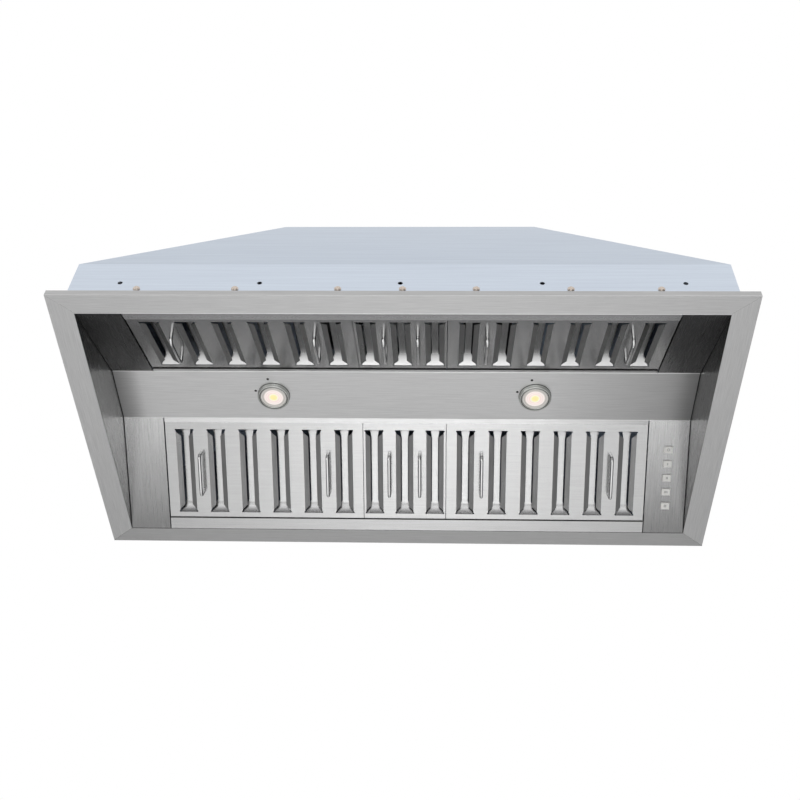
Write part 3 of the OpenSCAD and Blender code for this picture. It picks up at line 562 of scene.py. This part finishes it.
def run_of(corners, x0, x1):
    """A closed bar along X between x0 and x1 from (y, z) corners, in mm."""
    form = bmesh.new()
    ends = [[form.verts.new(Vector((x, y, z)) * MM) for y, z in corners]
            for x in (x0, x1)]
    for i in range(len(corners)):
        j = (i + 1) % len(corners)
        form.faces.new((ends[0][i], ends[0][j], ends[1][j], ends[1][i]))
    form.faces.new(ends[0])
    form.faces.new(ends[1])
    return mesh_of(form, "run", 50)


def on_slope(along, deep):
    """The (y, z) of a point of the rear slope: along it from the bar, and behind it."""
    tilt = math.radians(SLOPE)
    return (BAR_HALF + along * math.cos(tilt) + deep * math.sin(tilt),
            BAR_Z - along * math.sin(tilt) + deep * math.cos(tilt))


def in_front(corners):
    """The corners' mirror image on the front slope."""
    return [(-y, z) for y, z in corners]


def rubber(name, dark, light, per_metre, rough):
    """Rubber or sealant with faint specks, so many to a metre."""
    made, tree, sockets, place = begun(name)
    speck = add(tree, "ShaderNodeTexNoise",
                {"Vector": place, "Scale": per_metre}).outputs["Fac"]
    tree.links.new(mixed(tree, speck, dark, light), sockets["Base Color"])
    sockets["Roughness"].default_value = rough
    return made


# Gives the black lines between the panels, the filters and the side walls: painted shade for
# the gaps there.
gap_shade_rubber = rubber("black_edge_rubber", "161616", "242423", 700.0, 0.8)
hood = nodes["light_bar"]["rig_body"]


def mitre_line(x, y):
    """The black strip of painted shade in one mitre, from the opening's corner at x, y out to
    the lip.
    """
    out = Vector((math.copysign(MITRE_OUT[0], x), math.copysign(MITRE_OUT[1], y), 0))
    form = bmesh.new()
    block(form, (out.length - MITRE_SHORT, MITRE_W, MITRE_Z[1] - MITRE_Z[0]),
          Vector((x, y, sum(MITRE_Z) / 2)) + out / 2,
          math.degrees(math.atan2(out.y, out.x)))
    return mesh_of(form, "mitre")


def gap_shade_corners(start, end):
    """The corners of a black strip of painted shade between two distances along the rear
    slope.
    """
    return [on_slope(start, SHADE_STRIP_FROM), on_slope(end, SHADE_STRIP_FROM),
            on_slope(end, SHADE_STRIP_TO), on_slope(start, SHADE_STRIP_TO)]


# Black strips of painted shade along the rows' edges, the rear rail's foot and the joints
# with the side walls.
foot = [(INNER_Y - SHADE_SEAM_W, SHADE_STRIP_FROM), (INNER_Y, SHADE_STRIP_FROM),
        (INNER_Y, SHADE_STRIP_TO), (INNER_Y - SHADE_SEAM_W, SHADE_STRIP_TO)]
strips = [run_of(in_front(gap_shade_corners(TOP_LAP, TOP_LAP + SHADE_STRIP_W)), -BANK_X, BANK_X),
          run_of(gap_shade_corners(LEDGE_AT - SHADE_STRIP_W, LEDGE_AT), -BANK_X, BANK_X),
          run_of(foot, -SIDE_X, SIDE_X)]
half, low_end = SHADE_SEAM_W / 2, LEDGE_AT + SHADE_SEAM_PAST_LEDGE
down_slope = [on_slope(0, SHADE_SEAM_SUNK), on_slope(0, -half), on_slope(low_end, -half),
              on_slope(low_end, SHADE_SEAM_SUNK)]
across_bar = [(-BAR_HALF, BAR_Z + SHADE_SEAM_SUNK), (-BAR_HALF, BAR_Z - half),
              (BAR_HALF, BAR_Z - half), (BAR_HALF, BAR_Z + SHADE_SEAM_SUNK)]
for ends in ((-SIDE_X, SHADE_SEAM_W - SIDE_X), (SIDE_X - SHADE_SEAM_W, SIDE_X)):
    for corners in (down_slope, in_front(down_slope), across_bar):
        strips.append(run_of(corners, *ends))
strips += [mitre_line(x, y) for x in (-SIDE_X, SIDE_X) for y in (-INNER_Y, INNER_Y)]
piece_of("edge_trim", joined(strips), gap_shade_rubber, hood)
# Gives a bright line along each bend of the bar and the opening's front edge: rounded beads
# that catch real reflections, in a whiter tone than the sheet as a painted highlight.
bend_highlight_steel = metal("polished_bend", "EEEEEE", "F6F6F6", GRAIN_ALONG_X, 0.3, bump=0.01)
bead = [(BEAD_R * math.cos(a), BEAD_R * math.sin(a))
        for a in (2 * math.pi * i / BEAD_SIDES for i in range(BEAD_SIDES))]
beads = []
for middle_y, middle_z, reach in (
        (BAR_HALF - REAR_BEND_IN, BAR_Z + BEAD_UP, SIDE_X - SHADE_SEAM_W),
        (FRONT_BEND_IN - BAR_HALF, BAR_Z + BEAD_UP, SIDE_X - SHADE_SEAM_W),
        (EDGE_IN - INNER_Y, BEAD_R, SIDE_X)):
    beads.append(run_of([(middle_y + y, middle_z + z) for y, z in bead], -reach, reach))
piece_of("bend_edges", joined(beads), bend_highlight_steel, hood)

# The filters: a frame of bright stainless sheet whose slots have a flap folded
# in along each side, and behind it a back sheet pressed into one rounded
# trough for each slot, which turns the greasy air round.
FILTER_ROUND = 0.3
FILTER_TOP, FACE_DEPTH, SHEET = 2.0, 1.3, 0.8
FILTER_L, PLATE_ROUND = 157.406, 0.15
SLOT_W, SLOT_TOP, SLOT_LOW, LOW_LAP = 25.0, 15.2, 9.0, 5.5
WEB_W, WEB_DEPTH, WEB_RETURN, RETURN_GAP = 8.5, 11.5, 2.0, 0.4
RAMP_RUN, RAMP_TUCK, RAMP_STEPS = 16.0, 0.2, 14
PLAIN_END, FLARED_END = (7.0, 12.0), (12.0, 1.4)
WIDE_W, MID_W, WIDE_X = 285.4, 118.6, 202.8
WIDE_COUNT, MID_COUNT, WIDE_MARGIN, MID_MARGIN = 6, 3, 14.85, 3.05
FOLD_CREASE, FILTER_GRAIN, FLAP_GRAIN = 10.0, (70, 1.4, 1.4), (6, 60, 60)
REAR_TROUGH_PAINTED_SHADE, FRONT_TROUGH_PAINTED_SHADE = (172, 179.5, 1.0, 0.05), (-92, -66, 0.35, 1.0)
FILTER_ROWS = {"front_left": (-1, -WIDE_X, WIDE_W, WIDE_COUNT, WIDE_MARGIN),
               "front_middle": (-1, 0.0, MID_W, MID_COUNT, MID_MARGIN),
               "front_right": (-1, WIDE_X, WIDE_W, WIDE_COUNT, WIDE_MARGIN),
               "rear_left": (1, -WIDE_X, WIDE_W, WIDE_COUNT, WIDE_MARGIN),
               "rear_middle": (1, 0.0, MID_W, MID_COUNT, MID_MARGIN),
               "rear_right": (1, WIDE_X, WIDE_W, WIDE_COUNT, WIDE_MARGIN)}
# Gives the filters a smooth, bright sheet with a faint grain along the row.
baffle_steel = metal("bright_stainless", "C8C8C8", "D3D3D3", FILTER_GRAIN, 0.2,
                     bump=0.02, wave=0.05, wave_mm=40)
# Gives the front row the same sheet, slightly darker with painted shade.
front_baffle_steel = metal("darker_bright_stainless", "C0C0C0", "CACACA", FILTER_GRAIN,
                           0.2, bump=0.02, wave=0.05, wave_mm=40)
# Gives the flaps a darker grey, painted shade for the way they lean out of the face.
flap_steel = metal("drawn_dull_stainless", "7C7C7C", "8A8A8A", FLAP_GRAIN, 0.3, bump=0.03,
                   wave=0.1, wave_mm=25)
# Gives the rear row's troughs the whiter look of sheet that was never brushed, with painted
# shade that darkens them at the slots' lower ends.
trough_steel = graded(metal("unbrushed_bright_stainless", "D0D0D0", "D8D8D8",
                            FILTER_GRAIN, 0.24, bump=0.01), "Y", *REAR_TROUGH_PAINTED_SHADE)
# Gives the front row's troughs the same sheet, lighter with painted light, and with painted
# shade that darkens them away from the bar.
front_trough_steel = graded(metal("unbrushed_dull_stainless", "E4E4E4", "EAEAEA",
                                  FILTER_GRAIN, 0.24, bump=0.01), "Y", *FRONT_TROUGH_PAINTED_SHADE)


def row_tree():
    """Geometry Nodes that repeat a shape along X: how many, the first one and the pitch."""
    tree, given = node_group("row_along_x", (
        ("Shape", "Geometry"), ("Count", "Int"), ("First", "Float"), ("Pitch", "Float"),
        ("Finish", "Material")), "Row")
    start = add(tree, "ShaderNodeCombineXYZ", {"X": given["First"]})
    step = add(tree, "ShaderNodeCombineXYZ", {"X": given["Pitch"]})
    line = add(tree, "GeometryNodeMeshLine",
               {"Count": given["Count"], "Start Location": start.outputs[0],
                "Offset": step.outputs[0]})
    copies = add(tree, "GeometryNodeInstanceOnPoints",
                 {"Points": line.outputs["Mesh"], "Instance": given["Shape"]})
    return finished_tree(tree, copies, given["Finish"], "Row")


row_along_x = row_tree()


def row_mesh(shape, count, first, pitch, material):
    """The plain mesh that row_along_x makes of a shape; sizes in mm."""
    return grown(shape, row_along_x, {"Count": count, "First": first * MM,
                                      "Pitch": pitch * MM, "Finish": material})


def on_filter(side, place):
    """The matrix from a filter's own frame to the hood's, as in the CAD source."""
    seated = on_bank @ Matrix.Translation(Vector((place, FILTER_TOP, FACE_DEPTH)) * MM)
    return (Matrix.Scale(-1, 4, (0, 1, 0)) if side < 0 else Matrix.Identity(4)) @ seated


def ramp_stations(wide, bend):
    """Places along one ramp, as run, depth, half width and the way its thickness goes.

    wide is half the width of its end, and a greater bend makes the end steeper.
    """
    deep, made = WEB_DEPTH - SHEET, []
    for i in range(RAMP_STEPS + 1):
        run = math.pow(i / RAMP_STEPS, 2)
        drop = 1 - math.pow(1 - run, bend)
        rise = bend * math.pow(max(1 - run, 1e-6), bend - 1)
        along = Vector((RAMP_RUN, deep * rise)).normalized()
        half = WEB_W / 2 + (wide - WEB_W / 2) * (1 - run)
        made.append((RAMP_RUN * run - RAMP_TUCK, SHEET + deep * drop, half,
                     (-along[1], along[0])))
    return made


def trough(length, upper, lower):
    """One slot's trough: a sheet that drops from both ends of the slot.

    upper and lower are the half width and the bend of its ramps.
    """
    near = ramp_stations(*upper)
    far = [(length - y, z, half, (-n[0], n[1]))
           for y, z, half, n in reversed(ramp_stations(*lower))]
    form = bmesh.new()
    rows = []
    for y, z, half, (ny, nz) in near + far:
        under = [form.verts.new(Vector((x * half, y, z)) * MM) for x in (-1, 0, 1)]
        over = [form.verts.new(Vector((x * half, y + ny * SHEET, z + nz * SHEET)) * MM)
                for x in (-1, 0, 1)]
        rows.append(under + over[::-1])
    for a, b in zip(rows, rows[1:]):
        for i in range(6):
            j = (i + 1) % 6
            form.faces.new((a[i], a[j], b[j], b[i]))
    form.faces.new(rows[0])
    form.faces.new(rows[-1][::-1])
    for x in (SHEET / 2 - WEB_W / 2, WEB_W / 2 - SHEET / 2):
        block(form, (SHEET, length - 2 * (RAMP_RUN - RAMP_TUCK), WEB_RETURN),
              (x, length / 2, WEB_DEPTH + WEB_RETURN / 2 + RETURN_GAP))
    return mesh_of(form, "trough", 35)


def strip_plate(half, y0, y1):
    """A strip of the back sheet across a filter between two places on it, in mm."""
    form = bmesh.new()
    block(form, (2 * half, y1 - y0, SHEET), (0, (y0 + y1) / 2, 1.5 * SHEET))
    bmesh.ops.bevel(form, geom=form.edges[:], offset=PLATE_ROUND * MM, segments=1,
                    affect="EDGES")
    return mesh_of(form, "plate")


slot_l = FILTER_L - LOW_LAP - SLOT_TOP - SLOT_LOW
# The same filter stands in both rows, its flared ends towards the rear.
rear_trough = trough(slot_l, PLAIN_END, FLARED_END)
front_trough = trough(slot_l, FLARED_END, PLAIN_END)
for row, (side, place, width, count, margin) in FILTER_ROWS.items():
    dressed(row + "_filter_face", FILTER_ROUND,
            baffle_steel if side > 0 else front_baffle_steel, FOLD_CREASE,
            folds=flap_steel)
    first = margin + SLOT_W / 2 - width / 2
    shape, sheet_steel = ((rear_trough, trough_steel) if side > 0 else
                          (front_trough, front_trough_steel))
    troughs = row_mesh(shape.copy(), count, first, -2 * first / (count - 1), sheet_steel)
    troughs.transform(Matrix.Translation((0, SLOT_TOP * MM, 0)))
    half = width / 2 - SHEET
    back = joined([troughs, strip_plate(half, SHEET, SLOT_TOP - RAMP_TUCK - SHEET),
                   strip_plate(half, SLOT_TOP + slot_l + RAMP_TUCK + SHEET,
                               FILTER_L - SHEET)])
    back.transform(on_filter(side, place))
    if side < 0:
        back.flip_normals()
    piece_of(row + "_troughs", back, sheet_steel,
             nodes[row + "_filter_back"]["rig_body"],
             [row + "_filter_back"])

# The filters' handles: bails bent from polished stainless wire and welded to
# the face, two on each filter.
HANDLE_R, HANDLE_L, HANDLE_H, HANDLE_DROP, HANDLE_SUNK = 6.0, 61.4, 14.5, 2.7, 0.6
WIRE_R, WIRE_SIDES, TURN_STEPS = 2.25, 16, 8
FLANK_FROM, FLANK_TO = 0.45, 0.85
# Gives the polished wire painted shade on its flanks, so that a bright crown lies between
# dark flanks, by the attribute for the flanks that bail() writes.
wire_steel = metal("polished_wire", "E2E2E2", "EFEFEF", (3, 3, 3), 0.12, bump=0.01)
tree = wire_steel.node_tree
base = tree.nodes["Principled BSDF"].inputs["Base Color"]
flank = add(tree, "ShaderNodeAttribute", attribute_name="flank").outputs["Fac"]
flank_shade_share = add(tree, "ShaderNodeMapRange",
             {"Value": flank, "From Min": FLANK_FROM, "From Max": FLANK_TO})
tree.links.new(mixed(tree, flank_shade_share.outputs["Result"], base.links[0].from_socket, "3A3A3C"),
               base)


def bail():
    """One handle standing on the face, its legs along the slot's length."""
    leg = HANDLE_R - HANDLE_H
    path = [(-HANDLE_L / 2, HANDLE_SUNK), (-HANDLE_L / 2, leg)]
    for i in range(1, TURN_STEPS + 1):
        turn = math.radians(90 * i / TURN_STEPS)
        path.append((-HANDLE_L / 2 + HANDLE_R * (1 - math.cos(turn)),
                     leg - HANDLE_R * math.sin(turn)))
    path += [(-y, z) for y, z in reversed(path)]
    around = [2 * math.pi * k / WIRE_SIDES for k in range(WIRE_SIDES)]
    form = bmesh.new()
    flank_of = form.verts.layers.float.new("flank")
    rings = []
    for i, (y, z) in enumerate(path):
        before, after = path[max(0, i - 1)], path[min(len(path) - 1, i + 1)]
        along = Vector((0, after[0] - before[0], after[1] - before[1])).normalized()
        side = Vector((1, 0, 0))
        other = along.cross(side)
        rings.append([])
        for a in around:
            out = side * math.cos(a) + other * math.sin(a)
            corner = form.verts.new((Vector((0, y, z)) + WIRE_R * out) * MM)
            # How far round to the side the corner lies, which sets the painted shade on the
            # wire's flanks.
            corner[flank_of] = abs(math.cos(a))
            rings[-1].append(corner)
    for low, high in zip(rings, rings[1:]):
        for k in range(WIRE_SIDES):
            j = (k + 1) % WIRE_SIDES
            form.faces.new((low[k], low[j], high[j], high[k]))
    form.faces.new(rings[0])
    form.faces.new(rings[-1])
    return mesh_of(form, "bail", 60)


one_bail = bail()
for row, (side, place, width, count, margin) in FILTER_ROWS.items():
    first = margin + SLOT_W / 2 - width / 2
    pitch = -2 * first / (count - 1)
    bails = row_mesh(one_bail.copy(), 2, first + pitch / 2, (count - 2) * pitch, wire_steel)
    bails.transform(on_filter(side, place) @ Matrix.Translation(
        (0, (SLOT_TOP + slot_l / 2 + HANDLE_DROP) * MM, 0)))
    if side < 0:
        bails.flip_normals()
    piece_of(row + "_bails", bails, wire_steel,
             nodes[row + "_filter_handles"]["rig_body"],
             [row + "_filter_handles"])

# The lamps: a turned trim ring of satin nickel that stands out of the bar on a thin black
# seal, and in it a frosted optic with moulded rings, lit from behind by the module that plugs
# into the ring's barrel. The black seal under the ring and the one in its groove are painted
# shade for the gaps there.
LAMP_X, RING_R, RING_PROUD, BARREL_R, BARREL_H = 182.7, 22.25, 6.0, 20.0, 20.0
LENS_R, LENS_INSET, LENS_T, LAMP_WALL, PLUG_PLAY = 17.5, 1.5, 3.0, 1.0, 0.05
GROOVE_OUT, GROOVE_IN, GROOVE_DEEP, GROOVE_PLAY = 19.9, 18.9, 1.0, 0.05
SEAL_OUT, SEAL_T, GROOVE_SEAL = 0.4, 0.55, 0.55
OPTIC_RINGS, RIDGE, RIDGE_SHARE, OPTIC_RIM, DOME_R = 5, 0.3, 0.8, 0.5, 5.5
GLOW, DIMMED, TURN_SIDES, PIN_SIDES = 0.72, 0.35, 72, 16
# The two pinholes beside each lamp, where the ring's claws are pressed in.
PIN_PLACES, PIN_R, PIN_PROUD = ((-5.9, -29.7), (-24.9, -8.3)), 1.9, 0.25
# Gives the trim a smooth, cool satin shine.
trim_metal = metal("satin_nickel_trim", "BDBFBC", "D2D3CF", (1.2, 1.2, 1.2), 0.3, bump=0.02)
# Gives the black of the seals round and inside the trim, painted shade for the gaps there,
# and of the pins beside each lamp.
seal_shade_rubber = rubber("black_seal_rubber", "1E1E1C", "30302D", 900.0, 0.7)


def lit_optic(name, middle_x):
    """Frosted polycarbonate lit from behind: a warm spot inside pinkish white rings."""
    made, tree, sockets, place = begun(name)
    centred = add(tree, "ShaderNodeMapping",
                  {"Vector": place, "Location": (-middle_x * MM, 0, 0),
                   "Scale": (1, 1, 0)})
    radius = add(tree, "ShaderNodeVectorMath", {0: centred.outputs["Vector"]},
                 operation="LENGTH").outputs["Value"]
    share = add(tree, "ShaderNodeMapRange", {"Value": radius, "From Max": LENS_R * MM})
    ramp = add(tree, "ShaderNodeValToRGB", {"Fac": share.outputs["Result"]})
    stops = ramp.color_ramp.elements
    stops[0].color = srgb("FFF0A6")
    stops[1].color = srgb("D9D4CF")
    for at, tone in ((0.24, "FFF4B4"), (0.34, "FFFBE4"), (0.38, "FFF1E8"), (0.45, "F7E0D8"),
                     (0.53, "FFF3EE"), (0.62, "F4E2DC"), (0.7, "FFF6F1"), (0.77, "E2D8D2"),
                     (0.84, "B4B0AB"), (0.94, "C4C2BE")):
        stops.new(at).color = srgb(tone)
    tree.links.new(ramp.outputs["Color"], sockets["Emission Color"])
    dimmed = add(tree, "ShaderNodeVectorMath", {0: ramp.outputs["Color"], 1: (DIMMED,) * 3},
                 operation="MULTIPLY").outputs["Vector"]
    tree.links.new(dimmed, sockets["Base Color"])
    sockets["Emission Strength"].default_value = GLOW
    sockets["Roughness"].default_value = 0.25
    sockets["IOR"].default_value = 1.58
    return made


lens_z = LENS_INSET - RING_PROUD
trim_profile = [(BARREL_R, -0.1), (RING_R - 0.5, -0.1), (RING_R, -0.6), (RING_R, -4.2),
                (RING_R - 0.15, -5.1), (RING_R - 0.55, -5.7), (RING_R - 1.2, -RING_PROUD),
                (GROOVE_OUT, -RING_PROUD), (GROOVE_OUT, GROOVE_DEEP - RING_PROUD),
                (GROOVE_IN, GROOVE_DEEP - RING_PROUD), (GROOVE_IN, 0.15 - RING_PROUD),
                (GROOVE_IN - 0.4, -RING_PROUD), (LENS_R + 0.35, 0.25 - RING_PROUD),
                (LENS_R, 0.8 - RING_PROUD), (LENS_R, lens_z), (BARREL_R - LAMP_WALL, lens_z),
                (BARREL_R - LAMP_WALL, BARREL_H), (BARREL_R, BARREL_H)]
groove = (GROOVE_OUT - GROOVE_PLAY, GROOVE_IN + GROOVE_PLAY)
# The seals: black rings of painted shade in the gap under the trim and in its groove.
seal_shade_profiles = [[(RING_R - SEAL_OUT, 0.0), (RING_R - SEAL_OUT, -SEAL_T),
                  (RING_R + 0.25, -SEAL_T), (RING_R + 0.45, 0.0)],
                 [(groove[0], GROOVE_DEEP - RING_PROUD),
                  (groove[1], GROOVE_DEEP - RING_PROUD),
                  (groove[1], GROOVE_SEAL - RING_PROUD),
                  (groove[0], GROOVE_SEAL - RING_PROUD)]]
plug_r, optic_r = BARREL_R - LAMP_WALL - PLUG_PLAY, LENS_R - OPTIC_RIM
optic_profile = [(0, lens_z + LENS_T), (plug_r, lens_z + LENS_T), (plug_r, lens_z),
                 (LENS_R - 0.1, lens_z)]
ring_step = (optic_r - DOME_R) / OPTIC_RINGS
for i in range(OPTIC_RINGS):
    outer = optic_r - ring_step * i
    optic_profile += [(outer, lens_z), (outer - ring_step * RIDGE_SHARE, lens_z - RIDGE)]
optic_profile += [(DOME_R, lens_z), (4.2, lens_z - 0.45), (2.2, lens_z - 0.7),
                  (0, lens_z - 0.78)]
pin_profile = [(0, -PIN_PROUD), (PIN_R * 0.7, -0.2), (PIN_R, 0.0), (0, 0.0)]
for side, which in ((-1, "left"), (1, "right")):
    seat = Matrix.Translation(Vector((side * LAMP_X, 0, BAR_Z)) * MM)
    body = nodes[which + "_lamp_ring"]["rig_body"]
    ring = lathe(trim_profile, TURN_SIDES, 40)
    ring.transform(seat)
    piece_of(which + "_lamp_trim", ring, trim_metal, body,
             [which + "_lamp_ring"])
    pins = scattered_mesh(lathe(pin_profile, PIN_SIDES),
                          [(x * MM, y * MM, 0) for x, y in PIN_PLACES],
                          (0, 0, 0), seal_shade_rubber)
    seals = joined([lathe(profile, TURN_SIDES) for profile in seal_shade_profiles] + [pins])
    seals.transform(seat)
    piece_of(which + "_lamp_seals", seals, seal_shade_rubber, body)
    optic = lathe(optic_profile, TURN_SIDES, 20)
    optic.transform(seat)
    piece_of(which + "_lamp_optic", optic,
             lit_optic(which + "_lit_polycarbonate", side * LAMP_X), body,
             [which + "_lamp_lens"])

# The lamp modules: die-cast aluminium plugs with cooling fins, pushed into the
# barrels from behind.
FIN_ROUND = 0.3
# Gives the grainy grey of aluminium as it leaves the die.
cast_aluminium = metal("die_cast_aluminium", "A2A4A6", "BABCBE", (0.8, 0.8, 0.8), 0.45,
                       bump=0.25)
for which in ("left", "right"):
    dressed(which + "_lamp_module", FIN_ROUND, cast_aluminium)

# The push buttons: aluminium caps, lacquered white, that stand out of the panel's
# five square holes, each with a small printed mark, over a black switch housing.
BUTTON_ROUND, SWITCH_ROUND = 0.9, 0.6
BUTTON_PITCH, BUTTON_OUT, PANEL_X, FILLER_W = 21.3, 1.8, 347.0, 57.7
MARK_R, MARK_T, MARK_LINE, MARK_BAR, MARK_PITCH = 1.9, 0.06, 0.45, (0.7, 3.2), 2.4


def moulded(name, dark, light, grit_mm, rough, bump):
    """Moulded plastic or lacquer whose fine texture has grains of grit_mm.

    The real texture is a tenth of that, too fine to show.
    """
    made, tree, sockets, place = begun(name)
    grit = add(tree, "ShaderNodeTexNoise",
               {"Vector": place, "Scale": 1 / (grit_mm * MM), "Detail": 3.0}).outputs["Fac"]
    tree.links.new(mixed(tree, grit, dark, light), sockets["Base Color"])
    gloss = add(tree, "ShaderNodeMapRange",
                {"Value": grit, "To Min": rough * 1.2, "To Max": rough * 0.85})
    tree.links.new(gloss.outputs["Result"], sockets["Roughness"])
    fine = add(tree, "ShaderNodeBump",
               {"Height": grit, "Strength": bump, "Distance": 0.05 * MM})
    tree.links.new(fine.outputs["Normal"], sockets["Normal"])
    sockets["IOR"].default_value = 1.53
    return made


# Gives the caps a smooth, slightly warm white.
white_lacquer = moulded("white_lacquered_aluminium", "E9E8E4", "F4F3F0", 0.6, 0.35, 0.1)
# Gives the marks the flat grey of pad printing.
mark_ink = moulded("grey_pad_print", "6A6A6A", "7A7A7A", 0.3, 0.6, 0.0)
# Gives the housings behind the panels a dull, finely textured black.
black_abs = moulded("black_abs", "1B1B1C", "262627", 0.7, 0.5, 0.3)


def flat_form(*loops):
    """A printed mark: a thin plate inside one outline, or between two of equal counts."""
    form = bmesh.new()
    for level in (0.0, -MARK_T):
        rings = [[form.verts.new((x * MM, y * MM, level * MM)) for x, y in loop]
                 for loop in loops]
        if len(rings) == 1:
            form.faces.new(rings[0])
        else:
            for i in range(len(rings[0])):
                j = (i + 1) % len(rings[0])
                form.faces.new((rings[0][i], rings[0][j], rings[1][j], rings[1][i]))
    form.verts.ensure_lookup_table()
    per = sum(len(loop) for loop in loops)
    start = 0
    for loop in loops:
        for i in range(len(loop)):
            a, b = start + i, start + (i + 1) % len(loop)
            form.faces.new([form.verts[k] for k in (a, b, b + per, a + per)])
        start += len(loop)
    bmesh.ops.recalc_face_normals(form, faces=form.faces)
    return mesh_of(form, "mark")


def circle(radius, steps=24):
    """The outline of a circle, in mm."""
    return [(radius * math.cos(2 * math.pi * i / steps),
             radius * math.sin(2 * math.pi * i / steps)) for i in range(steps)]


def bars(count):
    """A row of upright bars, as fan speeds are often marked."""
    half_w, half_h = MARK_BAR[0] / 2, MARK_BAR[1] / 2
    made = []
    for i in range(count):
        x = (i - (count - 1) / 2) * MARK_PITCH * MARK_BAR[0]
        made.append(flat_form([(x - half_w, -half_h), (x + half_w, -half_h),
                               (x + half_w, half_h), (x - half_w, half_h)]))
    return joined(made)


ring_mark = flat_form(circle(MARK_R), circle(MARK_R - MARK_LINE))
marks = [ring_mark, bars(1), bars(2), bars(3), joined([ring_mark, bars(1)])]
bank_l = BAR_Z / math.sin(math.radians(SLOPE))
for i, mark in enumerate(marks):
    name = "button_%d" % (i + 1)
    dressed(name, BUTTON_ROUND, white_lacquer, segments=3)
    mark = mark.copy()
    mark.transform(on_bank @ Matrix.Translation(Vector((
        PANEL_X + FILLER_W / 2, bank_l / 2 + (i - 2) * BUTTON_PITCH, -BUTTON_OUT)) * MM))
    piece_of(name + "_mark", mark, mark_ink, nodes[name]["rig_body"])
dressed("switch_housing", SWITCH_ROUND, black_abs)

# The blower: a scroll and two cheeks of galvanised sheet screwed to a plate
# under the roof, a motor in black enamel, and a wheel on its ground shaft.
SHEET_ROUND, MOTOR_ROUND, SPANGLE, STREAK = 0.3, 1.0, 9.0, 1.5


def galvanised(name, dark, light, rough):
    """Hot-dip zinc: flat crystals SPANGLE mm across, each with its own tone and tilt."""
    made, tree, sockets, place = begun(name)
    sockets["Metallic"].default_value = 1.0
    cells = add(tree, "ShaderNodeTexVoronoi",
                {"Vector": place, "Scale": 1 / (SPANGLE * MM), "Randomness": 1.0})
    tone = add(tree, "ShaderNodeSeparateXYZ", {"Vector": cells.outputs["Color"]}).outputs["X"]
    streaks = add(tree, "ShaderNodeTexNoise",
                  {"Vector": place, "Scale": 1 / (STREAK * MM), "Detail": 3.0}).outputs["Fac"]
    both = add(tree, "ShaderNodeMath", {0: tone, 1: streaks, 2: 0.15},
               operation="MULTIPLY_ADD").outputs["Value"]
    tree.links.new(mixed(tree, both, dark, light), sockets["Base Color"])
    gloss = add(tree, "ShaderNodeMapRange",
                {"Value": tone, "To Min": rough * 1.25, "To Max": rough * 0.8})
    tree.links.new(gloss.outputs["Result"], sockets["Roughness"])
    relief = add(tree, "ShaderNodeBump",
                 {"Height": both, "Strength": 0.15, "Distance": 0.1 * MM})
    tree.links.new(relief.outputs["Normal"], sockets["Normal"])
    return made


# Gives the crystals of zinc on sheet that isn't meant to be seen.
zinc_sheet = galvanised("galvanised_sheet", "8E9295", "C3C7CA", 0.4)
# Gives the motor's can an even, slightly wavy black gloss.
black_enamel = moulded("black_enamel", "17181A", "232427", 2.0, 0.28, 0.15)
# Gives the shaft its fine turned rings.
ground_steel = metal("ground_shaft_steel", "B4B4B2", "D2D2D0", (0.3, 20, 20), 0.18)
for name in ("blower_wrap", "blower_left_cheek", "blower_right_cheek"):
    dressed(name, SHEET_ROUND, zinc_sheet)
dressed("motor", MOTOR_ROUND, black_enamel)
# Gives the wheel the plain soft grey of rolled aluminium.
wheel_aluminium = metal("mill_finish_aluminium", "A9ABAD", "C2C4C6", (12, 12, 1.2), 0.36)
coated("motor_shaft", ground_steel)
coated("impeller", wheel_aluminium)

# The duct outlet: a rolled collar of galvanised sheet on the roof, with two
# half-round damper flaps that the air lifts.
for name in ("duct_collar", "front_damper_flap", "rear_damper_flap"):
    dressed(name, SHEET_ROUND, zinc_sheet)

# The wiring: a moulded box inside the housing and the gland in its wall,
# through which the supply cable would enter.
BOX_ROUND, GLAND_ROUND = 1.2, 0.5
# Gives the gland the waxy dark grey of nylon.
grey_nylon = moulded("grey_nylon", "3A3B3D", "48494B", 0.8, 0.42, 0.15)
dressed("control_box", BOX_ROUND, black_abs)
dressed("cable_gland", GLAND_ROUND, grey_nylon)
